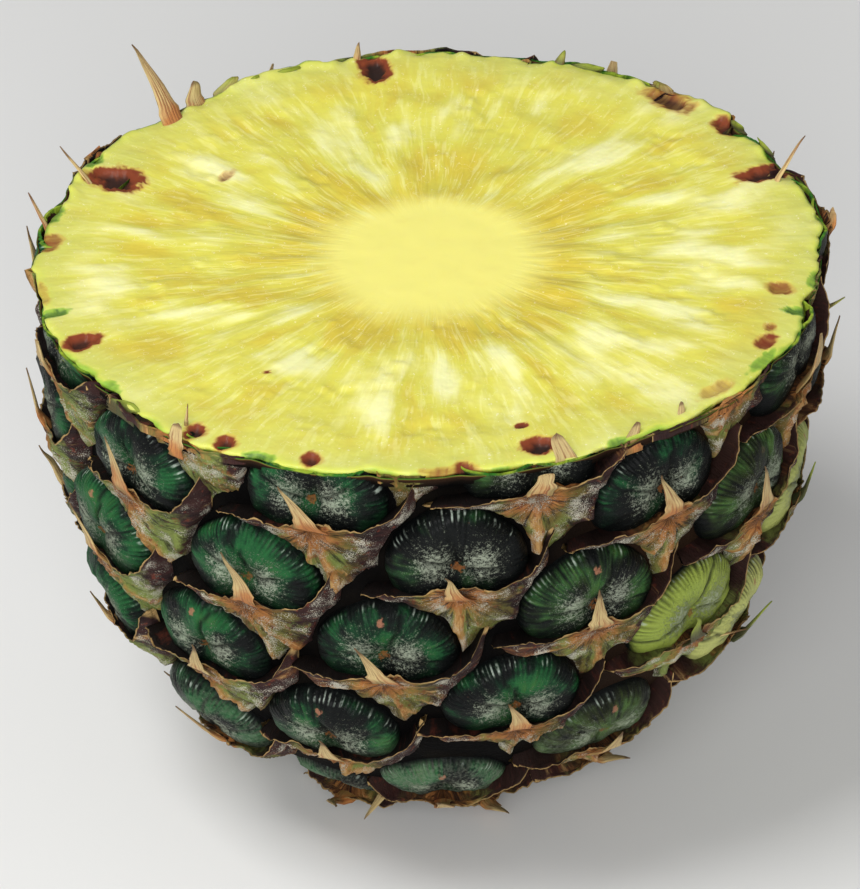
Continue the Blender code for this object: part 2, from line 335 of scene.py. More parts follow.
def grain(*axes):
    """Smooth noise from -1 to 1: random numbers at whole coordinates, blended between them."""
    axes = np.broadcast_arrays(*axes)
    cells = [np.floor(axis).astype(np.int64) for axis in axes]
    parts = [axis - cell for axis, cell in zip(axes, cells)]
    parts = [part * part * (3 - 2 * part) for part in parts]
    total = 0
    for corner in itertools.product((0, 1), repeat=len(axes)):
        key, weight = 0, 1
        for cell, part, end, mixer in zip(cells, parts, corner, MIXERS):
            key = key ^ ((cell + end) * mixer)
            weight = weight * (part if end else 1 - part)
        total = total + weight * LATTICE[key % len(LATTICE)]
    return total


print("noise along a line", grain(np.linspace(0, 2, 9)).round(2))

# %% [markdown]
# ## Finishes written as arithmetic
# A material is a small calculation for each spot on a surface. Wiring nodes by hand hides
# that, so a Field wraps a socket and lets the calculation be written with + - * and /. A
# Finish holds one material and adds the nodes. Constants go on the shader's own sockets.

# %% Field and Finish


def paint(colour):
    """A colour mixed on a screen, 0 to 255, as the linear light that shaders use."""
    share = np.array(colour) / 255
    return tuple(float(v) for v in np.where(
        share <= 0.04045, share / 12.92, ((share + 0.055) / 1.055) ** 2.4))


class Field:
    """A value, vector or colour that changes over a surface."""

    def __init__(self, finish, socket):
        self.finish, self.socket, self.flat = finish, socket, socket.type == "VALUE"

    def join(self, operation, one, two):
        """Values go through Math, and vectors and colours through Vector Math."""
        flat = all(getattr(side, "flat", not isinstance(side, tuple)) for side in (one, two))
        kind = "ShaderNodeMath" if flat else "ShaderNodeVectorMath"
        one, two = (side if flat or isinstance(side, (Field, tuple)) else (side,) * 3
                    for side in (one, two))
        return self.finish.node(kind, {"operation": operation}, one, two)

    def __add__(self, other): return self.join("ADD", self, other)
    def __radd__(self, other): return self.join("ADD", other, self)
    def __sub__(self, other): return self.join("SUBTRACT", self, other)
    def __rsub__(self, other): return self.join("SUBTRACT", other, self)
    def __mul__(self, other): return self.join("MULTIPLY", self, other)
    def __rmul__(self, other): return self.join("MULTIPLY", other, self)
    def __truediv__(self, other): return self.join("DIVIDE", self, other)
    def __rtruediv__(self, other): return self.join("DIVIDE", other, self)


class Finish:
    """One material: its shader's constants, and the nodes that its fields need."""

    def __init__(self, name, **constants):
        self.material = bpy.data.materials.new(name)
        self.material.use_nodes = True
        self.tree = self.material.node_tree
        self.shader = self.tree.nodes["Principled BSDF"]
        for socket, value in constants.items():
            self.shader.inputs[socket.replace("_", " ")].default_value = value

    def plug(self, socket, value):
        if isinstance(value, Field):
            self.tree.links.new(value.socket, socket)
        elif isinstance(value, tuple) and socket.type == "RGBA":
            socket.default_value = (*paint(value), 1)
        else:
            socket.default_value = value

    def node(self, kind, settings, *places, out=0, **inputs):
        """Any node: its settings first, then its sockets by place or by name."""
        node = self.tree.nodes.new(kind)
        for setting, value in settings.items():
            setattr(node, setting, value)
        for socket, value in zip(node.inputs, places):
            self.plug(socket, value)
        for socket, value in inputs.items():
            key = int(socket[1:]) if socket[1:].isdigit() else socket.replace("_", " ")
            self.plug(node.inputs[key], value)
        return Field(self, node.outputs[out])

    def kept(self, name, out="Vector"):
        """Numbers that the mesh keeps for each point."""
        return self.node("ShaderNodeAttribute", {"attribute_name": name}, out=out)

    def place(self):
        """Where the spot is in the object, in metres."""
        return self.node("ShaderNodeTexCoord", {}, out="Object")

    def parts(self, vector):
        """The three numbers of a vector."""
        node = self.node("ShaderNodeSeparateXYZ", {}, vector).socket.node
        return tuple(Field(self, output) for output in node.outputs)

    def vector(self, *parts):
        return self.node("ShaderNodeCombineXYZ", {}, *parts)

    def step(self, value, low, high):
        """0 at low and 1 at high, with an S-shaped step between."""
        return self.node("ShaderNodeMapRange", {"interpolation_type": "SMOOTHSTEP"}, Value=value,
                         From_Min=low, From_Max=high, out="Result")

    def noise(self, at, scale=1.0, detail=2.0, rough=0.5):
        return self.node("ShaderNodeTexNoise", {}, Vector=at, Scale=scale, Detail=detail,
                         Roughness=rough, out="Fac")

    def mix(self, share, one, two):
        return self.node("ShaderNodeMix", {"data_type": "RGBA"}, share, _6=one, _7=two, out=2)

    def painted(self, colour, *coats):
        """A colour painted over again and again: each coat is the share it covers and its own."""
        for share, over in coats:
            colour = self.mix(share, colour, over)
        return colour

    def maths(self, operation, *values):
        return self.node("ShaderNodeMath", {"operation": operation}, *values)

    def dress(self, colour, roughness, relief=None, depth=0.0):
        """Feeds the fields to the shader. Relief goes through a Bump node, depth in metres."""
        self.plug(self.shader.inputs["Base Color"], colour)
        self.plug(self.shader.inputs["Roughness"], roughness)
        if relief is not None:
            bump = self.node("ShaderNodeBump", {}, Strength=1.0, Distance=depth, Height=relief)
            self.plug(self.shader.inputs["Normal"], bump)
        print("finish", self.material.name, len(self.tree.nodes), "nodes")
        return self.material


print(f"half of full white on a screen is {paint((128, 128, 128))[0]:.2f} of its light")

# %% [markdown]
# ## The eyes
# An eye is the flat, leathery face of one berry: a wide lens with drooping ends, split into
# sepals that meet in a small pit. Waxy flutes run out from the pit and stand proud near the
# upper edge like teeth. A texture alone would look printed on, so the flutes are real
# relief. The grid of each eye fans out from the pit, with its rays packed close where the
# flutes are, and every height is one formula of x and y.

# %% Height of an eye's face
EYE_HALF_WIDTH = 12.0
EYE_ABOVE = 8.6
EYE_BELOW = 9.4
BEND_ABOVE = 1.65
BEND_BELOW = 2.9
EYE_CORNERS = 4.6
EYE_DROOP = 1.6
NOTCH, NOTCH_WIDTH = 1.8, 2.4
ROOT = -6.8
PIT_Y, PIT_DEPTH = -1.8, 1.2
LOBE_AT, LOBE_HEIGHT = 5.0, 0.35
SEPAL_HEIGHT = 0.40
FLUTES_PER_RADIAN = 11.0
FLUTE_DEPTH = 0.34
CLEFTS_AT, CLEFT_WIDTH, CLEFT_DEPTH = (1.45, 0.15, 2.95), 0.42, 0.5


def lens_below(x):
    """How far the lens reaches below the middle: less in the notch for the bract's tip."""
    return EYE_BELOW - NOTCH * bell(x / NOTCH_WIDTH)


def from_pit(x, y):
    """Distance and direction from the pit."""
    return np.hypot(x, y - PIT_Y), np.arctan2(y - PIT_Y, x)


def lens_spread(x, y):
    """How far out a point lies in the lens: 0 in the middle, 1 on its edge. Powers of the
    distances across and up make it nearly pointed above and boxy below."""
    across = x / EYE_HALF_WIDTH
    up = y + EYE_DROOP * across**2
    bend = np.where(up > 0, BEND_ABOVE, BEND_BELOW)
    tall = np.where(up > 0, EYE_ABOVE, lens_below(x))
    return (np.abs(across) ** bend + np.abs(up / tall) ** bend) ** (1 / bend)


def flutes(x, y, own):
    """Crests at 1 and valleys at 0, on rays from the pit, uneven in spacing, only near the edge
    and not along the lower one."""
    _, turn = from_pit(x, y)
    phase = 2 * math.pi * FLUTES_PER_RADIAN * turn + 3.0 * grain(turn * 6, own * 90)
    crest = (0.5 + 0.5 * np.cos(phase)) ** 0.7
    spread = lens_spread(x, y)
    start = 0.70 + 0.10 * grain(turn * 5, own * 130)
    zone = smooth(spread, start, start + 0.16) * smooth(spread, 1.04, 0.96)
    return crest, zone * smooth(np.sin(turn), -0.35, 0.05) * (0.8 + 0.5 * grain(turn * 4, own * 50))


def clefts(x, y, own):
    """Three cracks between sepals: rays from the pit that wander, one up and two sideways."""
    reach, turn = from_pit(x, y)
    total = 0
    for number, at in enumerate(CLEFTS_AT):
        sway = 0.35 * np.sin(21 * own + 2 * number) + 0.20 * grain(reach * 0.5, own * 60 + number)
        side = wrapped(turn - at - sway) * reach
        total = total + bell(side / CLEFT_WIDTH) * smooth(reach, 0.8, 1.8)
    return total


def eye_height(x, y, crown, scale, own):
    """A flat-topped dome, plus two low lobes and one prouder sepal, less the pit, the cracks
    and the valleys between flutes."""
    spread = np.minimum(lens_spread(x, y), 1)
    rise = (1 - spread**EYE_CORNERS) ** (1 / EYE_CORNERS)
    height = ROOT + (crown - ROOT) * scale * rise
    inside = 1 - spread**2
    lobes = LOBE_HEIGHT * bell((np.abs(x) - LOBE_AT) / 3.4) * inside
    pit = PIT_DEPTH * bell(x / 1.5) * bell((y - PIT_Y) / 1.6)
    off = np.abs(from_pit(x, y)[1] - 1.75 - 0.3 * np.sin(12 * own))
    sepal = SEPAL_HEIGHT * smooth(off, 0.62, 0.52) * smooth(y, 0.5, 3.5)
    bumps = 0.45 * grain(x * 0.33 + own * 60, y * 0.33) + 0.14 * grain(x * 1.1 + own * 31, y * 1.1)
    crest, zone = flutes(x, y, own)
    cut = FLUTE_DEPTH * (1 - crest) * zone + CLEFT_DEPTH * clefts(x, y, own) * inside
    return height + (lobes - pit + sepal * inside + bumps * (spread < 0.99)) * scale - cut


print(f"a middling eye is {eye_height(0.0, 3.0, CROWN, 1, 0.5):.1f} mm high above its pit",
      f"and {eye_height(0.0, PIT_Y, CROWN, 1, 0.5):.1f} mm in it")

# %% Grid of the eyes
RAYS_ABOVE = 206
RAYS_BELOW = 26
EYE_TURNS = np.concatenate([
    np.radians(np.linspace(-18, 198, RAYS_ABOVE, endpoint=False)),
    np.radians(np.linspace(198, 342, RAYS_BELOW, endpoint=False))])
EYE_RINGS = np.array([0.13, 0.30, 0.47, 0.62, 0.74, 0.84, 0.91, 0.955, 0.985, 1.0])
RAYS = len(EYE_TURNS)


def eye_points():
    """Rays run from the pit to the lens's edge, and rings are shares of the way. No eye is a
    perfect lens: its whole outline swells and shrinks a little round the way."""
    across, up = np.cos(EYE_TURNS), np.sin(EYE_TURNS)
    bend = np.where(up > 0, BEND_ABOVE, BEND_BELOW)
    across, up = (np.sign(part) * np.abs(part) ** (2 / bend) for part in (across, up))
    edge_x = EYE_HALF_WIDTH * across
    edge_y = np.where(up > 0, EYE_ABOVE, lens_below(edge_x)) * up - EYE_DROOP * across**2
    share = np.concatenate([[0], EYE_RINGS])[:, None]
    x = np.broadcast_to(edge_x * share, (len(EYE_NUMBERS), len(share), RAYS))
    y = np.broadcast_to(PIT_Y + (edge_y - PIT_Y) * share, x.shape)
    height = eye_height(x, y, eyes.crown, eyes.scale, eyes.own)
    swell = 1 + 0.05 * grain(across * 1.3 + eyes.own * 40, up * 1.3) + 0.02 * grain(
        across * 5 + eyes.own * 70, up * 5)
    return x * swell, PIT_Y + (y - PIT_Y) * swell, height


x, y, height = eye_points()
crest, zone = flutes(x, y, eyes.own)
eye_places = on_eyes(x, y, height)
eye_fields = {
    "spot": stacked(x, y, height), "kind": stacked(eyes.own, eyes.green, eyes.lime + 0 * x),
    "flute": stacked(crest, zone, depth_below_cut(eye_places)),
    "mark": stacked(lens_spread(x, y), clefts(x, y, eyes.own), 0 * x)}
print("each eye has", len(EYE_RINGS) * RAYS, "faces")


def gather(values, keep):
    """Drops the middle ring of an eye's grid to one point, the pit, for the eyes kept."""
    values = values[keep]
    middle, rest = values[:, 0, :1], values[:, 1:].reshape(len(values), -1, 3)
    return np.concatenate([middle, rest], axis=1).reshape(-1, 3)


def make_eyes(name, keep):
    count, size = int(keep.sum()), 1 + len(EYE_RINGS) * RAYS
    ring = np.arange(RAYS)
    fan = np.stack([np.zeros(RAYS, int), 1 + ring, 1 + (ring + 1) % RAYS], -1)
    sheet = 1 + ring_quads(len(EYE_RINGS), RAYS)[:, ::-1]
    under = (size - RAYS + ring)[None, ::-1]
    faces = [repeated(part, count, size) for part in (fan, sheet, under)]
    fields = {field: gather(values, keep) for field, values in eye_fields.items()}
    mesh = make_mesh(name, gather(eye_places, keep), faces, **fields, rooted=np.ones(count * size))
    if depth_below_cut(eye_places[keep]).min() < 0:
        slice_off(mesh, KNIFE, 1, skin=SKIN_THICKNESS)
    if eye_places[keep][..., 2].min() < 0:
        slice_off(mesh, BOARD, -1)
    return mesh


# %% [markdown]
# Waxy bottle green, greener on the side that had shade, with shade painted almost black between the
# flutes.
# White bloom, a dusting of wax and dried juice, gathers in the middle. Where the knife went
# through, the skin shows as a bright green line.

# %% Finish of the eyes
# The near-black ink green is the eyes' own colour and also the colour of the shade painted on them.
INK_GREEN_AND_SHADE = (9, 12, 12)
BOTTLE_GREEN = (16, 56, 34)
LEAF_SHINE = (34, 96, 50)
FRESH_LIME = (146, 164, 66)
PALE_LIME = (196, 198, 122)
# FLUTE_SHEEN is a painted highlight, beads of light on the crests, not a colour of the skin.
FLUTE_SHEEN = (190, 204, 190)
# The bloom's pale grey is the white wax bloom, and also the colour of the sheen painted low on the
# fruit.
BLOOM_AND_SHEEN = (164, 172, 152)
DRY_BROWN = (150, 92, 46)
DRY_PINK = (172, 116, 90)
CUT_GREEN = (50, 112, 34)
CUT_LIME = (150, 172, 52)


def eye_finish():
    """Ink and green in streaks, white powder on two lobes, brown flecks, a pink scar on half
    of the eyes, and a green cut. Shade is painted near black in the valleys, the cracks, the
    lower half and deep down, highlights as beads on the crests, and a paler sheen low down."""
    wax = Finish("waxy_eye", IOR=1.20, Coat_Weight=0.04, Coat_Roughness=0.18)
    step, noise = wax.step, wax.noise
    spot = wax.kept("spot")
    x, y, height = wax.parts(spot)
    own, green, lime = wax.parts(wax.kept("kind"))
    crest, zone, below = wax.parts(wax.kept("flute"))
    spread, cleft, _ = wax.parts(wax.kept("mark"))
    level = wax.parts(wax.place())[2]
    up = y - PIT_Y
    out = wax.maths("SQRT", x * x + up * up * 1.3)
    turn = wax.maths("ARCTAN2", up, x)
    streaks = noise(wax.vector(turn * 16, out * 0.20, own * 70), detail=3.0, rough=0.6)
    broad = noise(spot * 0.15 + own * 40)
    fine = noise(spot * 5.0 + own * 90, rough=0.7)
    grit = noise(spot * 1.7 + own * 20, detail=3.0, rough=0.6)
    lit = noise(spot * 0.32 + own * 50, detail=3.0, rough=0.7)
    flecks = noise(spot * 1.4 + own * 77, detail=3.0, rough=0.6)

    fresh = step(streaks * 0.4 + broad * 2.0 + green * 0.9, 1.58, 2.05)
    shine = step(streaks * 0.5 + grit * 0.5 + broad * 1.7 + green * 0.8, 1.84, 2.15)
    ripe = step(lime + broad * 0.6 + streaks * 0.3 - 0.35, 0.2, 0.85)
    # Painted shade: the lower half of a green eye, turned down away from the light, is painted darker.
    shaded_lower_half = step(y + broad * 3, 0.5, -3.0) * step(lime, 0.5, 0.1)
    # Painted highlight: beads of light on the flute crests near the upper edge.
    painted_crest_highlight = step(crest, 0.62, 0.95) * step(spread, 0.84, 0.93) * step(up, -1.0, 4.5)
    aside, high = wax.maths("ABSOLUTE", x) - 3.6, up - 1.2
    lobe = wax.maths("EXPONENT", (aside * aside * 0.075 + high * high * 0.055) * -1)
    powder = step(fine * 0.80 + grit * 0.70 + lobe * 0.36 + streaks * 0.25, 1.04, 1.24)
    near_pit = step(flecks + step(out, 2.0, 0.3) * 0.34, 0.73, 0.83)
    right, top = x - 0.8 + own * 1.5, y - 5.8
    scar = wax.maths("SQRT", right * right * 1.6 + top * top) + flecks * 2
    # Painted sheen: low on the fruit, where the skin is seen at a grazing angle, it is painted paler,
    # as a reflection.
    painted_low_sheen = step(level, 0.042, 0.022) * step(grit + broad * 0.5, 0.55, 0.95)
    cut = wax.mix(step(noise(spot * 0.25 + own * 30), 0.42, 0.6), CUT_GREEN, CUT_LIME)

    skin = wax.painted(
        INK_GREEN_AND_SHADE, (fresh, BOTTLE_GREEN), (shine * 0.8, LEAF_SHINE), (ripe * 0.9, FRESH_LIME),
        (step(lime, 1.02, 1.35) * 0.8, PALE_LIME), (shaded_lower_half * 0.8, INK_GREEN_AND_SHADE),
        # Painted shade: the valleys between the flutes and the cracks between sepals are painted near
        # black.
        ((1 - crest) * zone * 0.9, INK_GREEN_AND_SHADE), (cleft * 0.85, INK_GREEN_AND_SHADE),
        (painted_crest_highlight * step(streaks * 0.5 + lit, 0.76, 0.94) * 0.85, FLUTE_SHEEN),
        (powder * 0.74 * (1 - cleft * 0.7), BLOOM_AND_SHEEN), (near_pit * 0.65, DRY_BROWN),
        (step(scar, 1.8, 1.4) * step(own, 0.45, 0.55) * 0.65, DRY_PINK), (painted_low_sheen * 0.26, BLOOM_AND_SHEEN),
        # Painted shade: where an eye's face sinks deep below the skin, it is painted near black.
        (step(height, -0.9, -2.6), INK_GREEN_AND_SHADE), (step(below, 0.4, 0.05), cut))
    rough = 0.40 + powder * 0.40 + streaks * 0.12
    relief = streaks * step(out, 2.0, 5.0) * 0.4 + powder * 0.4 + fine * 0.35 + grit * 0.6
    return wax.dress(skin, rough, relief, 0.00045)


waxy_eye = eye_finish()
tiers = {"upper": EYE_NUMBERS < 0, "middle": (EYE_NUMBERS >= 0) & (EYE_NUMBERS < LOWER_FROM),
         "lower": EYE_NUMBERS >= LOWER_FROM}
for tier, keep in tiers.items():
    add_piece(make_eyes(tier + "_eyes", keep), waxy_eye, stands_for_solid=tier == "upper")

# %% [markdown]
# ## The bracts
# Under each eye sits a dried leaf, the bract. It spreads between the eyes like a kite: two
# wings, a lower point, ribs that fan out from the root of its tip, and a thin free upper
# margin with a dark gap behind. It is made as a closed profile carried across the leaf: over
# the top from margin to point, and back underneath. Solidify would give one thickness
# everywhere, and here the margin has to be thin and the rest rooted in the fruit.

# %% Shape of the bracts
# The free upper margin and the lower outline, from the left wing to the right one, with the
# tip's root and the foot in the middle: x and y from the middle of the bract's own eye.
MARGIN = (
    (-15.6, -8.4), (-10.8, -6.7), (-6.6, -6.1), (-2.6, -5), (1.6, -4), (5.8, -5.2), (10, -3.6),
    (13.2, -0.6), (15.4, 3.8))
FOOT_LINE = (
    (-16, -9), (-11.4, -12.4), (-7.2, -14.2), (-2.8, -17), (1.2, -21.2), (6, -18.2), (11, -13.4),
    (14.8, -6.8), (15.8, 3.4))
FREE_STRIP = 3.4
KEEL_TOP = 1.9
KEEL_FOOT = -1.6
KEEL_FALL = 1.8
WING_TOP = 0.5
WING_DROP = 1.6
WING_END = 1.0
FOLD = 1.8
TIP_ROOT_Y = -6.2
CURLED_CORNER, CORNER_REACH = (9.6, -13.2), 2.0
LOW_POINT, POINT_REACH = (1.6, -20.0), 3.5**0.5
FLAP, FLAP_SWELL = 0.25, 3.0
GUTTER_ABOVE = 1.9
GUTTER_BESIDE = 0.7
GUTTER_DEPTH = 5.5
NEXT_EYES = (8, 13, 21)
LENS_TO_MM = 9.5  # about how many millimetres one more of lens_spread is, beyond an eye
# Ribs: direction from the root of the tip, clockwise from +x, width and height.
RIBS = (
    (-16, 6, 0.5), (8, 5, 0.5), (30, 5, 0.7), (48, 4, 0.6), (64, 4, 0.9), (80, 4, 1.3),
    (97, 4, 0.9), (114, 4, 0.7), (132, 5, 0.6), (152, 6, 0.6), (174, 6, 0.5))
BRACT_ACROSS = np.linspace(-1, 1, 69)
TOP_DOWN = np.linspace(0, 1, 19) ** 1.25
# A bract's underside is painted in shade.
UNDERSIDE = -4.0  # what the edge field says on a bract's dark underside
UNDER_DOWN = np.array([1.0, 0.62, 0.32, 0.17, 0.11, 0.05])
UNDER = (np.arange(len(TOP_DOWN) + len(UNDER_DOWN)) >= len(TOP_DOWN))[:, None]
ROOTED_FROM = 0.15


def smooth_line(points, share):
    """A smooth run through a few evenly spaced points, read at shares 0 to 1 (Catmull-Rom)."""
    points = np.array(points)
    ends = np.vstack([2 * points[0] - points[1], points, 2 * points[-1] - points[-2]])
    place = share * (len(points) - 1)
    start = np.clip(place.astype(int), 0, len(points) - 2)
    t = (place - start)[..., None]
    a, b, c, d = (ends[start + step] for step in range(4))
    return b + 0.5 * t * (c - a + t * (2 * a - 5 * b + 4 * c - d + t * (3 * (b - c) + d - a)))


def bract_outline(across, down, own):
    """A place between the margin and the foot line. The margin is a little torn, and every
    bract is drawn a little longer or shorter, and more to one side."""
    share = (across + 1) / 2
    margin, foot = smooth_line(MARGIN, share), smooth_line(FOOT_LINE, share)
    x, y = np.moveaxis(margin + (foot - margin) * down[..., None], -1, 0)
    torn = 0.34 * grain(across * 30, own * 80) + 0.45 * grain(across * 8, own * 44)
    wave = 0.8 * grain(across * 2.2, own * 64)
    side = 0.9 * grain(down * 2.5 + own * 50, own * 70 + np.sign(across) * 5) * np.abs(across) ** 3
    x = x * (1 + 0.06 * np.sin(53 * own)) + side
    return x, y + torn * np.exp(-down / 0.06) + wave * (1 - down)


def gutter(x, y):
    """How deep a bract falls off towards the next eyes down the spiral: 1 at their edges, and 0
    beyond a gutter that is wide above an eye and narrow beside it."""
    fall = 0
    for step in NEXT_EYES:
        later = np.minimum(np.arange(len(EYE_NUMBERS)) + step, len(EYE_NUMBERS) - 1)
        aside = (wrapped(step * TURN_PER_EYE) * eyes.radius) / eyes.scale
        down = (eyes.arc[later] - eyes.arc) / eyes.scale
        size = eyes.scale[later] / eyes.scale
        above = (y + down) / size
        off = (lens_spread((x - aside) / size, above) - 1) * LENS_TO_MM * size
        width = GUTTER_BESIDE + (GUTTER_ABOVE - GUTTER_BESIDE) * smooth(above, 0.0, 5.0)
        fall = np.maximum(fall, smooth(off, width, 0.1))
    return fall


def rib_fan(x, y, own):
    """The ribs that fan out from the root of the tip, as a height."""
    reach = np.hypot(x, y - TIP_ROOT_Y)
    turn = np.degrees(np.arctan2(TIP_ROOT_Y - y, x))
    turn = np.where(turn < -90, turn + 360, turn)
    fan = 0
    for number, (at, width, rise) in enumerate(RIBS):
        sway = 5 * np.sin(40 * own + 2.3 * number) + 5 * grain(reach * 0.25, own * 30 + number)
        fan = fan + (rise * (0.8 + 0.5 * np.sin(31 * own + number))
                     * np.exp(-np.abs((turn - at - sway) / width) ** 1.5))
    return fan * smooth(reach, 0.5, 4.0)


def bract_height(across, down, x, y, own):
    """A keel down the middle that fans out in ribs, wings that sink towards the groove, a lip
    along the margin, and corners that curl up as they dry."""
    keel = KEEL_TOP + (KEEL_FOOT - KEEL_TOP) * down**KEEL_FALL
    height = WING_TOP - WING_DROP * down + (keel - WING_TOP) * (1 - np.abs(across) ** FOLD)
    fan = rib_fan(x, y, own) - 0.4 * smooth(np.hypot(x, y - TIP_ROOT_Y), 0.5, 4.0)
    lip = 0.9 * np.exp(-down / 0.07) * (0.45 + 0.65 * grain(across * 2.6 + own * 37, down * 0))
    curl = (0.9 + 1.1 * np.sin(17 * own)) * mound(x, y, CURLED_CORNER, CORNER_REACH)
    point = 0.9 * mound(x, y, LOW_POINT, POINT_REACH)
    crumple = 0.45 * grain(x * 0.35 + own * 50, y * 0.35) + 0.22 * grain(x * 1.1 + own * 70, y * 1.1)
    ends = WING_END * smooth(np.abs(across), 0.72, 1.0)
    share = (across + 1) / 2
    length = np.linalg.norm(smooth_line(FOOT_LINE, share) - smooth_line(MARGIN, share), axis=-1)
    fall = GUTTER_DEPTH * gutter(x, y) * smooth(down * length, 0.6 * FREE_STRIP, FREE_STRIP)
    return height + fan + lip + curl + point + crumple - ends - fall


def bract_section():
    """For every bract: over the top from margin to point, then back underneath. The first rows
    below the margin are a thin free flap, and the rest reaches down into the fruit."""
    down = np.concatenate([TOP_DOWN, UNDER_DOWN])[:, None]
    rooted = UNDER & (down > ROOTED_FROM)
    across = BRACT_ACROSS * np.where(rooted, 0.85, 1.0)
    across, down, own = np.broadcast_arrays(across, down, eyes.own)
    x, y = bract_outline(across, down, own)
    top = bract_height(across, down, x, y, own)
    flap = top - FLAP - FLAP_SWELL * down**1.1
    height = np.where(rooted, ROOT, np.where(UNDER, flap, top))
    return across, down, x, y, height


across, down, x, y, height = bract_section()
bract_places = on_eyes(x, y, height)
leafy = np.clip(eyes.lime + 0.8 * smooth(eyes.azimuth, -0.4, -1.0), 0, 1)
# The edge field is about millimetres from the free edge, and rooted says what the knife may
# take for the fruit's own skin.
bract_fields = {
    "spot": stacked(x, y, height), "kind": stacked(eyes.own, leafy, depth_below_cut(bract_places)),
    "edge": np.where(UNDER, UNDERSIDE, np.minimum(down * 16, (1 - np.abs(across)) * 9)),
    "rooted": smooth(down, 0.10, ROOTED_FROM), "rib": np.clip(rib_fan(x, y, eyes.own), 0, 1.2)}
BRACT_ROWS, BRACT_COLUMNS = len(UNDER), len(BRACT_ACROSS)
print("each bract has", BRACT_ROWS * BRACT_COLUMNS, "faces")


def make_bracts(name, keep):
    """Sections become rings, so each bract is a tube closed at both sides."""
    faces = [part[:, ::-1] for part in tubes(int(keep.sum()), BRACT_COLUMNS, BRACT_ROWS)]
    fields = {field: np.swapaxes(values[keep], 1, 2) for field, values in bract_fields.items()}
    places = np.swapaxes(bract_places[keep], 1, 2)
    mesh = make_mesh(name, places, faces, **fields)
    if places[..., 2].min() < 0:
        slice_off(mesh, BOARD, -1)
    if depth_below_cut(places).min() < 0:
        slice_off(mesh, KNIFE, 1, skin=SKIN_THICKNESS)
    return mesh


# %% [markdown]
# Dry leaf: orange and tan where the tip begins, olive over the ribs, purple-brown towards
# the grooves, and pale and papery along every free edge. Fibres fan out with the ribs.

# %% Finish of the bracts
TAN = (186, 122, 66)
OLIVE = (108, 94, 46)
LEAF_GREEN = (126, 140, 70)
PLUM = (58, 34, 32)
DARK_PLUM = (30, 18, 19)
PAPER = (208, 172, 112)
RUSTY = (124, 58, 40)
SHADOW = (9, 6, 6)
# INNER_SHADE is painted shade for the undersides of the bracts.
INNER_SHADE = (20, 13, 11)
WARM_SHADOW = (40, 26, 18)
LIT_SIDE_INNER_SHADE = (48, 30, 24)
DUST = (204, 200, 182)


def bract_finish():
    """Olive and green, plum away from the keel, tan near the tip's root and on the ribs, with
    pale fibres, dust, rust spots and a papery margin. Shade is painted dark on the underside
    and where the gutter beyond the margin sinks deep, and lighter and warmer on the right and
    at the foot, where more light falls."""
    leaf = Finish("dry_bract", IOR=1.26)
    step, noise = leaf.step, leaf.noise
    spot = leaf.kept("spot")
    x, y, height = leaf.parts(spot)
    own, lime, below = leaf.parts(leaf.kept("kind"))
    edge, rib = leaf.kept("edge", out="Fac"), leaf.kept("rib", out="Fac")
    across, _, level = leaf.parts(leaf.place())
    up = y - TIP_ROOT_Y
    out = leaf.maths("SQRT", x * x + up * up)
    turn = leaf.maths("ARCTAN2", up, x)
    away = leaf.maths("ABSOLUTE", x - 1.0)
    fibres = noise(leaf.vector(turn * 11, out * 0.22, own * 60), detail=5.0, rough=0.7)
    veins = noise(leaf.vector(turn * 30, out * 0.35, own * 20), rough=0.6)
    broad = noise(spot * 0.18 + own * 45, detail=3.0)
    patches = noise(spot * 0.45 + own * 95, detail=4.0, rough=0.65)
    specks = noise(spot * 5.5 + own * 33, rough=0.7)
    clouds = noise(spot * 0.28 + own * 66)
    spots = noise(spot * 0.8 + own * 12, detail=3.0)

    dull = step(away * 0.075 + out * 0.025 + patches * 1.2 - lime * 0.4, 1.05, 1.45)
    root = step(out * -0.11 + patches * 0.9 + fibres * 0.5 - lime * 0.1, -0.08, 0.46)
    dust = step(specks + clouds * 0.9, 1.03, 1.12) * step(edge, 0.8, 2.0) * step(below, 0.8, 2.0)
    # Painted shade: a bract's underside, seen in the gap behind its free margin, is painted dark.
    inside = step(edge + patches * 0.8, -0.3, -1.3)
    margin = step(edge + patches * 0.7, 0.95, 0.55) * (1 - inside)
    # Painted shade: where a bract sinks deep into the gutter, it is painted with shadow colours.
    deep = step(height + patches * 1.2, -2.2, -4.0)
    # Painted light: on the right and at the foot, where more light falls, the painted shade is lighter
    # and warmer.
    lit_shade_side = leaf.maths("MAXIMUM", step(across, 0.012, 0.042), step(level, 0.034, 0.016))
    worn = step(fibres + patches * 0.5, 0.78, 1.0) * 0.4
    inner_shade = leaf.painted(INNER_SHADE, (lit_shade_side, LIT_SIDE_INNER_SHADE), (worn, RUSTY))

    skin = leaf.painted(
        OLIVE, (step(broad + lime * 0.4, 0.45, 0.72), LEAF_GREEN), (dull, PLUM), (root, TAN),
        (step(rib + fibres * 0.9, 0.85, 1.45) * 0.75, TAN),
        (step(rib * 0.45 + fibres, 0.62, 0.40) * 0.9, DARK_PLUM),
        (step(rib * 0.2 + fibres + veins * 0.4, 0.84, 1.0) * 0.6, PAPER),
        (dust * 0.9, DUST), (step(spots, 0.60, 0.70) * 0.6, RUSTY), (margin * 0.8, PAPER),
        (deep * (1 - lit_shade_side * 0.45), leaf.mix(lit_shade_side, SHADOW, WARM_SHADOW)),
        (inside * (1 - lit_shade_side * step(fibres, 0.30, 0.70) * 0.85), inner_shade))
    rough = 0.55 + fibres * 0.2 + dust * 0.2
    relief = fibres * 0.8 + veins * 0.4 + specks * 0.25 + patches * 0.3
    return leaf.dress(skin, rough, relief, 0.0010)


dry_bract = bract_finish()
for tier, keep in tiers.items():
    add_piece(make_bracts(tier + "_bracts", keep), dry_bract)

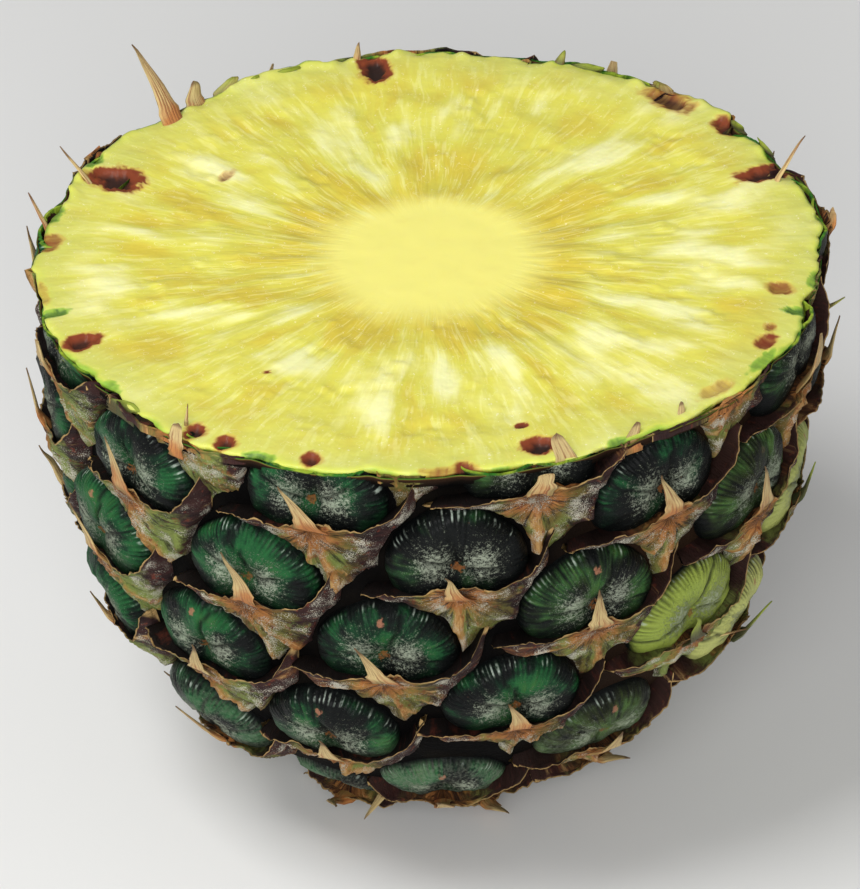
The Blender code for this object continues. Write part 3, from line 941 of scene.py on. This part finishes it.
# %% [markdown]
# ## The tips
# The bract ends in a narrow, papery tip that stands off its own eye. A blade is a lens-shaped
# section swept along a bent line, wide and torn at its root and pointed at its end. The same
# blade, longer and freer, makes the few spikes that stand up from the cut edge.

# %% Shape of the blades
TIP_FOOT = 5.0
TIP_WIDTH = 5.6
TIP_SUNK = 2.2
TIP_ASIDE, TIP_RAISED = 0.4, 2.4
TIP_SPREAD = 1.5
CURL = 1.6
CUP = 0.21
FAR_BELOW = 9
BLADE_UP = np.linspace(0, 1, 21) ** 1.05
BLADE_AROUND = np.linspace(0, 2 * math.pi, 12, endpoint=False)
# Spikes and torn flaps at the cut edge: azimuth in degrees, how far below the cut each starts,
# length, width at the foot, height off the skin at foot and tip, sideways lean, how blunt it is
# (a small power keeps it wide to its end) and how green.
SPIKES = (
    (-135, 4, 14, 6.4, -5.5, 8, -1, 1, 0), (-141.5, 2, 5.5, 5, -2, 0.5, 1, 0.5, 0.4),
    (-113, 5, 11, 1.5, -5.5, 2.6, -1.5, 0.6, 0), (109, 4, 11, 1.7, -5.5, 1.6, 1, 0.6, 0),
    (57, 66, 13, 2.4, -5.5, 3.5, 2, 0.8, 0), (-11, 96, 8, 3.2, -5.5, 4.5, -2, 0.8, 0),
    (-147, 2, 4.2, 6, -1.5, -0.5, 0.6, 0.4, 0.5), (-151.5, 2, 3.6, 4, -1, -1.4, -0.5, 0.5, 0.9),
    (-157, 2, 3.4, 7, -1, -1.6, 0.5, 0.35, 1), (-168.5, 2, 5, 2.2, -1.5, 0.2, -1.2, 0.7, 0.2),
    (160, 2, 4.6, 2.6, -1.5, -0.5, -0.8, 0.6, 0.6), (156, 1.5, 2.8, 7, -1, -1.2, 0, 0.35, 1),
    (142, 1.5, 3.4, 6, -0.8, -1.6, 0.6, 0.4, 0.5), (126, 1.5, 3.2, 5, -0.8, -1.6, 0.4, 0.4, 1),
    (119, 1.5, 3.4, 5, -0.8, -1.8, -0.4, 0.4, 1), (-100.5, 3, 7.5, 1.7, -1, 3.4, -2.2, 0.5, 0.35),
    (-50, 2.5, 3.4, 6.4, -0.4, -0.8, 0.6, 0.2, 0.8),
    (-37.5, 3, 6.4, 2.8, 1.2, 1.4, 0.4, 0.2, 0.1),
    (-38.5, 0.5, 4.2, 0.9, -2.4, -3.2, -0.6, 0.8, 0),
    (20, 6.5, 11.5, 4.2, -0.6, -0.6, -0.8, 0.3, 0.15), (30, 2.5, 4.6, 3.4, -1, -1.8, 2, 0.4, 0.1),
    (39, 1, 2.8, 2, -1.2, -2.4, 0.8, 0.4, 0), (86, 14, 8, 3.6, -2, 3.6, 0.6, 0.9, 0.5))


def blade(length, width, lift, lean, own, flare=0.0, plump=0.42, hollow=1.15):
    """x, y and height of a blade that runs up from y = 0. Its half-width falls to a point as a
    power of the distance left, and flares at the root. Its edges turn up by CUP."""
    up, around = BLADE_UP[:, None], BLADE_AROUND[None, :]
    left = 1 - up
    half = width / 2 * (left**hollow * (1 + flare * bell((up - 0.34) / 0.13)) + 0.03)
    torn = 1 + 0.28 * grain(up * 14, own * 60 + np.sign(np.cos(around)) * 3) * smooth(up, 0.75, 0.35)
    side = np.cos(around)
    bend = lean * up**2 + 0.45 * width * grain(up * 2.2, own * 75) * up**1.5
    x = bend + half * torn * side
    thick = plump * (0.25 + 0.75 * left) * np.sin(around)
    ridge = CUP * half * side**2 + 0.12 * np.cos(side * 13) * left
    slope = np.arctan2(CURL * lift * up ** (CURL - 1), length)
    off = thick + ridge
    return x, length * up - off * np.sin(slope), lift * up**CURL + off * np.cos(slope)


def blade_mesh(name, places, spots, kinds):
    """Blades are tubes of rings with both ends closed."""
    faces = tubes(len(places), len(BLADE_UP), len(BLADE_AROUND))
    return make_mesh(name, places, faces, spot=spots, kind=kinds)


def tip_mesh():
    """Each tip starts inside its bract and comes out of it a little below the margin, where the
    ribs run together. It flares there and then tapers to a curled point."""
    length = eyes.tip_length + TIP_FOOT
    lift, lean = eyes.tip_lift * TIP_SPREAD, eyes.tip_lean * TIP_SPREAD
    x, y, height = blade(length, TIP_WIDTH, lift, lean, eyes.own, flare=0.12)
    up = BLADE_UP[:, None] + 0 * x
    rise = KEEL_TOP + 0.1 - TIP_SUNK * (1 - smooth(up, 0.0, 0.42))
    places = on_eyes(x + TIP_ASIDE, y + TIP_ROOT_Y + TIP_RAISED - TIP_FOOT, height + rise)
    spots = stacked(np.cos(BLADE_AROUND) * TIP_WIDTH / 2, up * length, up)
    kinds = stacked(eyes.own, eyes.lime, depth_below_cut(places))
    mesh = blade_mesh("bract_tips", places, spots, kinds)
    slice_off(mesh, KNIFE, 1)
    slice_off(mesh, BOARD, -1)
    return mesh


def spike_mesh():
    """Each spike or flap starts inside the skin and leaves it along its own lean."""
    places, spots, kinds = [], [], []
    for number, (azimuth, start, length, width, low, high, lean, hollow, fresh) in enumerate(SPIKES):
        own = np.array([[(0.37 * number + 0.21) % 1]])
        x, y, height = blade(length, width, high - low, lean, own, plump=0.4, hollow=hollow)
        turn = math.radians(azimuth)
        arc = start + cut_top(turn) - y
        places.append(on_skin(turn + x / np.interp(start, ARCS, RADII), arc, height + low))
        up = BLADE_UP[:, None]
        spots.append(stacked(np.cos(BLADE_AROUND) * width / 2, up * length, up))
        kinds.append(stacked(own, fresh, x * 0 + FAR_BELOW))
    return blade_mesh("stray_spikes", np.stack(places), np.stack(spots), np.stack(kinds))


print("each blade has", (len(BLADE_UP) - 1) * len(BLADE_AROUND) + 2, "faces")

# %% [markdown]
# Papery and fibrous: orange-brown at the root, straw towards the end, and often a dark point.

# %% Finish of the tips
STRAW = (206, 182, 126)
RUST = (138, 78, 48)
DARK_POINT = (92, 56, 38)
FLAP_GREEN = (34, 62, 36)


def tip_finish():
    """Tan at the root and straw above, with rusty and olive fibres and a dark point. The fresh
    flaps are green and end lime where the knife took them."""
    straw = Finish("papery_tip", IOR=1.38)
    step, noise = straw.step, straw.noise
    x, y, up = straw.parts(straw.kept("spot"))
    own, lime, _ = straw.parts(straw.kept("kind"))
    fibres = noise(straw.vector(x * 2.6, y * 0.16, own * 60), detail=4.0, rough=0.6)
    broad = noise(straw.vector(x * 0.3, y * 0.3, own * 30))
    flap = straw.mix(step(up + broad * 0.3, 0.6, 1.05), FLAP_GREEN, CUT_LIME)
    skin = straw.painted(
        TAN, (step(up + broad * 0.9 + fibres * 0.45 + own * 0.3, 0.95, 1.45), STRAW),
        (step(fibres, 0.54, 0.34) * 0.8, RUST),
        (step(up, 0.42, 0.30) * step(broad, 0.4, 0.6) * 0.6, OLIVE),
        (step(fibres + broad * 0.3, 0.86, 0.98) * 0.5, OLIVE),
        (step(up + own * 0.12, 0.90, 1.02) * 0.7, DARK_POINT),
        (step(lime + broad * 0.4 + fibres * 0.3, 0.65, 1.05) * 0.85, flap))
    return straw.dress(skin, 0.55 + fibres * 0.2, fibres, 0.0004)


papery_tip = tip_finish()
add_piece(tip_mesh(), papery_tip)
add_piece(spike_mesh(), papery_tip)

# %% [markdown]
# ## The rim and the body below
# Flesh fills the fruit right out to the skin, so the rim follows the sliced eyes and bracts,
# and bridges the narrow grooves between them. It is read from the cut edges that the knife
# left. Below the rim the fruit's own body sinks quickly into the dark grooves, and it ends flat
# where the stem was.

# %% Shape of the rim and the body
AROUND = 720
BRIDGE = 12  # a groove at the rim is bridged when it is at most twice this many steps wide
BRIDGED = 0.8
BODY_ROWS = 46
BODY_FALL = 4.5
CAP_GAP = 0.15
HOLLOW_WALL = 0.8
HOLLOW_LOW, HOLLOW_HIGH = SINK + 0.5, SINK - 0.2
# The felt colours are painted shade in the grooves: near black, and lighter and warmer on the right
# where more light falls.
BLACK_SHADE_FELT = (5, 4, 4)
BROWN_SHADE_FELT = (16, 12, 8)
LIT_SIDE_SHADE_FELT = (44, 30, 20)
SCAR_BROWN = (96, 70, 40)
SCAR_STRAW = (178, 148, 98)
RIND_BROWN = (46, 30, 20)
RIND_TAN = (92, 62, 34)
RIND_OLIVE = (150, 120, 60)


def rolled(values, reach, choose):
    """The least or the greatest value within reach steps to either side, round the rim."""
    return choose.reduce([np.roll(values, shift) for shift in range(-reach, reach + 1)])


def skin_edge():
    """How far out the sliced skin stands round the cut: the outermost rooted edge at each
    azimuth, with narrow grooves mostly bridged."""
    ends = np.concatenate(SLICED)
    ends = ends[ends[..., 2].min(axis=1) > 0.5][..., :2] / MM
    share = np.linspace(0, 1, 60)[:, None]
    points = ends[:, :1] + (ends[:, 1:] - ends[:, :1]) * share
    turn = np.arctan2(points[..., 0], -points[..., 1])
    place = np.rint((turn / (2 * math.pi) + 0.5) * AROUND).astype(int) % AROUND
    edge = np.full(AROUND, FRUIT_RADIUS + GROOVE)
    np.maximum.at(edge, place, np.hypot(points[..., 0], points[..., 1]))
    bridged = rolled(rolled(edge, BRIDGE, np.maximum), BRIDGE, np.minimum)
    edge = edge + BRIDGED * (bridged - edge)
    edge = rolled(edge, 1, np.minimum)
    return (np.roll(edge, 1) + 2 * edge + np.roll(edge, -1)) / 4


RIM = skin_edge()
ROUND = np.linspace(-math.pi, math.pi, AROUND, endpoint=False)
print(f"the skin's edge lies {RIM.min():.1f} to {RIM.max():.1f} mm from the axis")


def polar_faces(rings, around):
    """A stack of closed rings with one pole at each end: the first and the last point."""
    ring = np.arange(around)
    after = (ring + 1) % around
    last = 1 + (rings - 1) * around
    start = np.stack([np.zeros(around, int), 1 + ring, 1 + after], -1)
    end = np.stack([np.full(around, last + around), last + after, last + ring], -1)
    return [start, 1 + ring_quads(rings, around)[:, [1, 0, 3, 2]], end]


def with_poles(rings, first, last):
    """One value for each point of polar_faces: the pole, the rings, the other pole."""
    width = rings.shape[-1]
    return np.concatenate([np.reshape(part, (-1, width)) for part in (first, rings, last)])


def body_mesh():
    """Rows run from the knife's plane down: from the rim, quickly in to the groove's depth below
    the outline. Above them the top is hollowed, so that the flesh has room."""
    azimuth = ROUND[None, :]
    share = np.linspace(0, 1, BODY_ROWS)[:, None] ** 1.5
    top = cut_top(azimuth) + CAP_GAP
    depth = top + (HEIGHT - top) * share
    rough = grain(np.sin(azimuth) * 9, np.cos(azimuth) * 9, depth * 0.25)
    radius = np.maximum(outline_radius(depth), STEM_RADIUS) + GROOVE
    radius = radius + 0.5 * rough * smooth(share, 0.0, 0.06) * smooth(share, 1.0, 0.97)
    near = smooth(depth - top, BODY_FALL, 0.0)
    radius = radius + (RIM - 0.1 - radius) * near
    hollow = np.repeat(radius[:1] - HOLLOW_WALL, 2, axis=0)
    radius = np.concatenate([hollow, radius])
    z = HEIGHT - np.concatenate([top + HOLLOW_LOW, top + HOLLOW_HIGH, depth])
    points = stacked(radius * np.sin(azimuth), -radius * np.cos(azimuth), z)
    points = with_poles(points, (0, 0, HEIGHT - HOLLOW_LOW), (0, 0, 0))
    return make_mesh("groove_body", points, polar_faces(BODY_ROWS + 2, AROUND),
                     below=depth_below_cut(points))


def body_finish():
    """Painted shade in the grooves: near-black felt, brown in patches, and lighter and warmer on
    the right where more light falls. Brown rind near the cut, a green line at the cut itself,
    and a pale ringed scar underneath."""
    bark = Finish("groove_shadow", IOR=1.15)
    step, noise = bark.step, bark.noise
    place = bark.place()
    x, y, z = bark.parts(place)
    below = bark.kept("below", out="Fac")
    felt = noise(place, scale=900.0, detail=4.0, rough=0.7)
    broad = noise(place, scale=120.0)
    out = bark.maths("SQRT", x * x + y * y)
    rings = noise(bark.vector(x, y, out * 3), scale=700.0, detail=3.0)
    skin = bark.painted(
        # Painted shade in the grooves, painted lighter and warmer on the right where more light falls.
        BLACK_SHADE_FELT, (step(broad, 0.45, 0.75), BROWN_SHADE_FELT), (step(x, 0.012, 0.042), LIT_SIDE_SHADE_FELT),
        (step(z, 0.0012, 0.0002), bark.mix(step(rings, 0.35, 0.65), SCAR_BROWN, SCAR_STRAW)),
        (step(below + broad * 2, 3.4, 1.6), RIND_BROWN),
        (step(below + broad, 1.2, 0.6), bark.mix(step(broad, 0.42, 0.58), RIND_TAN, RIND_OLIVE)),
        (step(below + broad * 0.5, 0.7, 0.4), CUT_GREEN))
    return bark.dress(skin, 0.75 + felt * 0.2, felt, 0.0004)


groove_shadow = body_finish()
add_piece(body_mesh(), groove_shadow)

# %% [markdown]
# ## The cut face
# The knife shows a smooth core, a ring of glassy flesh round it, and fibres that run out to
# the rim, which stays just inside the skin in uneven scallops. A displaced disc would do for a
# clean cut. Here the face is a polar grid out to the skin's own edge, so the two fit without
# any Boolean, and lumps, torn cells and rim pits are real relief.

# %% Rim and relief of the flesh
FLESH_RINGS = 100
DEEPEST = -1.3
FLESH_RISE = 0.05
PATCH_RISE = 0.25
# The skirt inside the skin: how far out from the rim, and how far up from the cut, each ring is.
SKIRT = np.array([(-0.3, -0.6), (-0.6, -1.0), (-2.0, -1.3)])
CORE_RADIUS = 15.5
# Pits at the rim: azimuth in degrees, distance from the middle, length along the radius,
# width across it, depth, and how brown it is, or how green when that is below nought.
PITS = (
    (-76, 61, 3.4, 1.1, 0.6, -0.85), (71.5, 60.8, 3, 1.2, 0.6, -0.85),
    (-54, 61.4, 1.6, 2, 0.4, -0.7), (-25, 62, 1.3, 2.6, 0.4, -0.8), (57, 61.2, 1, 4, 0.3, -0.7),
    (27.5, 61.8, 1.3, 1.8, 0.4, -0.8), (9, 62.2, 0.9, 3.4, 0.3, -0.8),
    (80, 61.4, 1.2, 2.4, 0.4, -0.7), (-119, 62, 1.3, 2.4, 0.4, -0.8),
    (47, 60, 1.6, 3.6, 0.5, 0.4), (3, 61.6, 1.2, 4.6, 0.3, 0.5),
    (-104, 61.8, 1.4, 2.6, 0.4, -0.8), (-82, 61.6, 0.9, 3.4, 0.2, 0.4),
    (66, 58, 1, 1.2, 0.4, 0.6), (-171, 58, 4.2, 2.6, 1.5, 1), (-116, 56.5, 4.4, 3.4, 1.4, 1),
    (112, 58.5, 5, 2.4, 1.4, 1), (-96, 61, 2.4, 2.4, 0.4, 0.6), (-67, 59, 3, 2.2, 1.3, 1),
    (-36.5, 60.5, 2.2, 1.6, 1.2, 0.9), (-31, 60.8, 2, 1.6, 1.1, 0.9),
    (-17.5, 60, 2, 1.5, 1.1, 0.9), (17, 57.5, 2.2, 3, 1.4, 1), (16, 51, 0.9, 0.9, 0.5, 1),
    (77, 56.5, 2.2, 1.8, 0.8, 0.6), (5, 61, 2, 1.6, 0.8, 0.7), (-128, 41.5, 0.9, 1.8, 0.4, 0.5),
    (62, 59, 1.6, 2.4, 0.6, 0.7), (139, 59.5, 2.6, 5, 1.2, 0.6), (127, 60, 2.2, 3, 1, 0.7),
    (-38, 41, 0.5, 0.6, 0.2, 0.9))


def flesh_relief(azimuth, radius, rim):
    """Height off the knife's plane: a flat core in a shallow ring, lumps and ridges that run
    outwards, scattered torn cells, and the edge rounded down, and torn along the back."""
    across, along = np.sin(azimuth), np.cos(azimuth)
    outside = smooth(radius, CORE_RADIUS - 1, CORE_RADIUS + 6)
    sway = 0.9 * grain(across * 2.4 + 9, along * 2.4, radius * 0.06)
    lumps = 0.50 * grain(across * 4 + sway, along * 4 + sway, radius * 0.09)
    ridges = 0.22 * grain(across * 13 + sway, along * 13, radius * 0.13)
    cells = smooth(grain(radius * across * 0.16 + 40, radius * along * 0.16, 0 * radius), 0.15, 0.6)
    torn = 0.28 * cells * grain(radius * across * 0.6, radius * along * 0.6 + 17, 0 * radius)
    ring = -0.25 * bell((radius - CORE_RADIUS - 4) / 4.5)
    inside, level = rim - radius, 0 * radius
    edge = 0.45 * smooth(inside, 14.0, 8.5) - 0.25 * smooth(inside, 0.7, 0.0)
    tear = 0.7 * grain(across * 11 + 5, along * 11, level)
    tear = tear + 0.5 * grain(across * 34, along * 34, level + 3)
    edge = edge + tear * smooth(inside, 3.0, 0.4) * smooth(along, 0.2, -0.4)
    calm = smooth(inside, 6.0, 13.0)
    core = 0.05 * grain(radius * across * 0.4, radius * along * 0.4, 0 * radius)
    return (lumps + ridges + torn) * outside * (0.3 + 0.7 * calm) + ring + edge + core


# Patches in the flesh: azimuth in degrees, distance from the middle, length along the radius,
# width across it, and 1 where it is white and dense or -1 where it is gold and glassy.
PATCHES = (
    (3, 37, 8, 2.6, 1), (19, 33, 8, 2, 0.8), (49, 36, 6, 3, 1), (52, 46, 5, 3.2, 0.9),
    (-36, 38, 6, 3.6, 1), (-70, 37, 7, 3, 0.9), (-131, 41, 5, 1.6, 1), (-117, 34, 6, 1.5, 1),
    (-172, 37, 6, 2.4, 0.8), (139, 38, 7, 3, 0.9), (115, 36, 8, 2, 1), (88, 42, 10, 2.6, 0.8),
    (107, 55, 6, 4, 0.7), (66, 39, 7, 2.2, 0.9), (-100, 49, 9, 2.2, 0.8), (-50, 50, 5, 4, 0.6),
    (-14, 46, 6, 4, 0.8), (160, 46, 8, 5, 0.6), (-30, 22, 6, 5, -1), (-70, 28, 8, 3.4, -0.8),
    (14, 24, 5, 4, -0.8), (54, 23, 6, 5, -0.8), (112, 25, 11, 3.4, -0.9), (173, 27, 7, 5, -0.8),
    (-122, 20, 5, 4, -0.6), (-150, 30, 9, 3, -0.6), (35, 51, 6, 3, -0.5), (-8, 55, 5, 5, -0.7),
    (-60, 50, 6, 4, -0.6), (82, 51, 8, 6, 0.6), (-105, 40, 9, 2.4, -0.6), (128, 50, 8, 3.4, -0.5))


def patch_marks(azimuth, radius):
    """Lightness that the patches give: bell shapes, drawn out along the radius and frayed."""
    total = 0
    for at, out, length, width, light in PATCHES:
        sway = 0.05 * grain(radius * 0.12, at * 0.37 + 0 * azimuth)
        side = wrapped(azimuth - math.radians(at) - sway) * radius
        frayed = 0.35 * grain(side * 0.5, radius * 0.16 + at)
        spread = (side / width) ** 2 + ((radius - out) / length) ** 2
        total = total + light * np.exp(frayed - spread)
    return np.clip(total, -1.2, 1.2)


def pit_marks(azimuth, radius):
    """Depth of the pits, and how brown, or how green, the flesh is round them."""
    depth, brown = 0, 0 * azimuth * radius
    for at, out, length, width, deep, stain in PITS:
        side = wrapped(azimuth - math.radians(at)) * radius
        ragged = 0.22 * grain(side * 0.9, radius * 0.9) + 0.12 * grain(side * 2.3, radius * 2.3)
        off = np.hypot(side / width, (radius - out) / length) + ragged
        depth = depth + deep * smooth(off, 1.05, 0.35)
        mark = smooth(off, 1.35, 0.75)
        brown = np.where(np.abs(stain) * mark > np.abs(brown), stain * mark, brown)
    return depth, brown


def scallops(azimuth):
    """How much thicker the rind is here and there, so that the flesh ends further in."""
    x, y = np.sin(azimuth), np.cos(azimuth)
    wide, narrow = grain(x * 7 + 3, y * 7), grain(x * 29, y * 29 + 8)
    return 0.9 * smooth(wide, 0.0, 0.7) + 0.35 * smooth(narrow, 0.0, 0.6)


def flesh_mesh():
    """Rings from the core to the rim on the knife's plane, then a skirt that goes down inside
    the skin, and a pole below to close it."""
    azimuth, rim = ROUND[None, :], RIM[None, :] - SKIN_THICKNESS - scallops(ROUND)
    share = np.linspace(0, 1, FLESH_RINGS + 1)[1:, None] ** 0.72
    radius = share * rim
    depth, brown = pit_marks(azimuth, radius)
    light = patch_marks(azimuth, radius)
    relief = np.maximum(flesh_relief(azimuth, radius, rim) + PATCH_RISE * light - depth, DEEPEST)
    radius = np.concatenate([radius, SKIRT[:, :1] + rim])
    relief = np.concatenate([relief + FLESH_RISE, SKIRT[:, 1:] + 0 * rim])
    brown = np.concatenate([brown, np.repeat(brown[-1:], len(SKIRT), axis=0)])
    light = np.concatenate([light, 0 * SKIRT[:, :1] + 0 * rim])
    across, along = radius * np.sin(azimuth), -radius * np.cos(azimuth)
    x = across * math.cos(CUT_TILT) + relief * -math.sin(CUT_TILT)
    z = HEIGHT + across * math.sin(CUT_TILT) + relief * math.cos(CUT_TILT)
    low = SKIRT[-1, 1]
    points = with_poles(stacked(x, along, z), (0, 0, HEIGHT + FLESH_RISE), (0, 0, HEIGHT + low))
    cut = with_poles(stacked(rim - radius, brown, relief), (rim.mean(), 0, 0), (rim.mean(), 0, low))
    return make_mesh("cut_flesh", points, polar_faces(len(radius), AROUND), cut=cut,
                     light=with_poles(light[..., None], 0, 0))


print(len(PITS), "pits at the rim and", len(PATCHES), "patches in the flesh")

# %% [markdown]
# Flesh is wet and lets light in. The core is the palest yellow, the glassy ring leans to gold,
# and the outer flesh turns greenish white before the thin green line of the skin. Streaks
# follow the fibres, so the noise is read in polar coordinates.

# %% Finish of the flesh
CORE_YELLOW = (247, 235, 127)
GLASSY_GOLD = (212, 189, 64)
FLESH_YELLOW = (220, 214, 90)
PALE_FLESH = (249, 246, 176)
RUSTY_FLESH = (196, 142, 62)
RIM_FLESH = (206, 209, 108)
RIM_YELLOW = (206, 214, 84)
RIM_GREEN = (124, 170, 50)
NOTCH_GREEN = (30, 78, 30)
STAIN = (126, 56, 26)
DEEP_STAIN_AND_SHADE = (40, 20, 13)
GLINT = (255, 252, 222)


def flesh_finish():
    """A yellow that turns glassy gold where the tone is low and white where it is high, a plain
    core, thin fibres, painted glints, a greenish rim, green notches, and brown pits with
    painted shade where they are deepest."""
    pulp = Finish("wet_flesh", IOR=1.38, Subsurface_Weight=0.45, Subsurface_Scale=0.0025,
                  Subsurface_Radius=(1.0, 0.85, 0.35), Coat_Weight=0.08, Coat_Roughness=0.16)
    step, noise = pulp.step, pulp.noise
    x, y, _ = pulp.parts(pulp.place() * 1000)
    inside, brown, relief = pulp.parts(pulp.kept("cut"))
    light = pulp.kept("light", out="Fac")
    out = pulp.maths("SQRT", x * x + y * y)
    side, ahead = x / (out + 0.01), y / (out + 0.01)
    beyond = step(out, 12.0, 21.0)
    sway = noise(pulp.vector(x * 0.045, y * 0.045, 0.0)) * 2.5

    def streaky(count, bend, along, detail=2.0):
        """Noise that changes count times as fast round the fruit, and slowly outwards."""
        return noise(pulp.vector(side * count + sway * bend, ahead * count, out * along), detail=detail)

    def mottled(scale, at, detail=2.0):
        return noise(pulp.vector(x * scale, y * scale, at), detail=detail)

    broad, soft = streaky(3.5, 1, 0.05, detail=1.0), streaky(8, 1, 0.07, detail=1.5)
    fibres, fine = streaky(20, 1.5, 0.08), streaky(60, 2, 0.20)
    clouds, lumps = mottled(0.08, 4.0), mottled(0.32, 8.0)
    drops, wires = mottled(1.5, 2.0, detail=1.0), mottled(0.5, 6.0, detail=1.0)

    # Painted highlights: glints of wet drops and thin bright lines.
    glints = step(drops, 0.70, 0.76) + step(pulp.maths("ABSOLUTE", wires - 0.62), 0.006, 0.002)
    tone = soft * 0.6 + broad * 0.6 + clouds * 0.5 + fibres * 0.35 + light * 0.33
    gold = step(out + broad * 14 + clouds * 10, 45.0, 30.0)
    notch = brown * -1 + fine * 0.3
    stained = step(brown + fine * 0.4, 0.45, 0.95)
    skin = pulp.painted(
        FLESH_YELLOW, (step(tone, 1.06, 0.78) * 0.8, GLASSY_GOLD),
        (step(tone + lumps * 0.1, 1.08, 1.42) * 0.95, PALE_FLESH),
        (gold * step(tone, 1.35, 0.90) * 0.9, GLASSY_GOLD),
        (step(fine + fibres * 0.4, 0.72, 0.86) * 0.28, PALE_FLESH),
        (step(out + fibres * 3 + clouds * 6, 26.0, 18.5), CORE_YELLOW),
        (step(inside + clouds * 12, 18.0, 6.0) * 0.75, RIM_FLESH),
        (glints * lumps * beyond * 0.8, GLINT),
        (step(inside + soft * 3 + clouds * 3, 5.2, 2.6) * 0.7, RIM_YELLOW),
        (step(inside + fibres * 1.2 + clouds * 4.5, 3.3, 2.2) * 0.8, RIM_GREEN),
        (step(notch, 0.3, 0.8) * 0.8, RIM_GREEN), (step(notch, 0.75, 1.15), NOTCH_GREEN),
        (step(brown + lumps * 0.3, 0.15, 0.5) * 0.5, RUSTY_FLESH), (stained, STAIN),
        # Painted shade: stained pits are painted darker still where they sink deepest.
        (stained * step(relief, 0.1, -0.9), DEEP_STAIN_AND_SHADE))
    ripples = soft * 0.8 + fibres * 0.35 + fine * 0.06 + lumps * 0.45
    return pulp.dress(skin, 0.46 + lumps * 0.12 + stained * 0.3, ripples * beyond, 0.0006)


wet_flesh = flesh_finish()
add_piece(flesh_mesh(), wet_flesh)

# %% [markdown]
# ## Floor, light and camera
# A pale floor and soft light, as in a plain studio: one big lamp high on the left shapes the
# fruit, a lower one in front fills it, and a grey world fills the rest. Bare bulbs would give
# hard shadows. The long lens is well back, so the fruit shows hardly any perspective.

# %% Floor
FLOOR_HALF = 6.0
FLOOR_CORNERS = ((-1, -1), (1, -1), (1, 1), (-1, 1))
GREY_FLOOR, PALE_FLOOR = (226, 226, 224), (236, 236, 235)


def floor_mesh():
    mesh = bpy.data.meshes.new("studio_floor")
    corners = [(FLOOR_HALF * x, FLOOR_HALF * y, 0) for x, y in FLOOR_CORNERS]
    mesh.from_pydata(corners, [], [(0, 1, 2, 3)])
    return mesh


def floor_finish():
    matte = Finish("pale_floor")
    cloud = matte.noise(matte.place(), scale=3.0)
    return matte.dress(matte.mix(cloud, GREY_FLOOR, PALE_FLOOR), 0.8 + cloud * 0.1)


floor = placed("studio_floor", floor_mesh())
floor.data.materials.append(floor_finish())

# %% Light
GREY_LEVEL = 0.30
# Each lamp: its place and size in metres, and its power in watts.
LAMPS = {"key": ((-0.45, -0.35, 1.10), 0.45, 8.2), "fill": ((-0.10, -1.20, 0.65), 0.60, 12.0)}


def soft_lamp(name, at, aim, size, power):
    """A square lamp at a place, turned to face a point."""
    light = bpy.data.lights.new(name, "AREA")
    light.size, light.energy = size, power
    turned = (Vector(at) - Vector(aim)).to_track_quat("Z", "Y").to_matrix().to_4x4()
    placed(name, light).matrix_world = Matrix.Translation(at) @ turned


world = bpy.data.worlds.new("grey_room")
world.use_nodes = True
sky = world.node_tree.nodes["Background"].inputs
sky["Color"].default_value, sky["Strength"].default_value = (1, 1, 1, 1), GREY_LEVEL
bpy.context.scene.world = world
for name, (at, size, power) in LAMPS.items():
    soft_lamp(name, at, (0, 0, HEIGHT * MM), size, power)
bpy.context.scene.view_settings.view_transform = "Standard"
print("lamps", ", ".join(f"{name} {power} W" for name, (_, _, power) in LAMPS.items()))

# %% Camera
DISTANCE = 1.25
LOOK_DOWN = math.radians(32.5)
AIM_BELOW = math.radians(1.364)
LENS = 320

lens = bpy.data.cameras.new("long_lens")
lens.lens = LENS
lens.clip_start, lens.clip_end = 0.05, 20
camera = placed("camera", lens)
camera.location = (0, -DISTANCE * math.cos(LOOK_DOWN), HEIGHT * MM + DISTANCE * math.sin(LOOK_DOWN))
camera.rotation_euler = (math.pi / 2 - LOOK_DOWN - AIM_BELOW, 0, 0)
bpy.context.scene.camera = camera
print(f"camera {DISTANCE} m away, {math.degrees(LOOK_DOWN):.1f} degrees above the level")
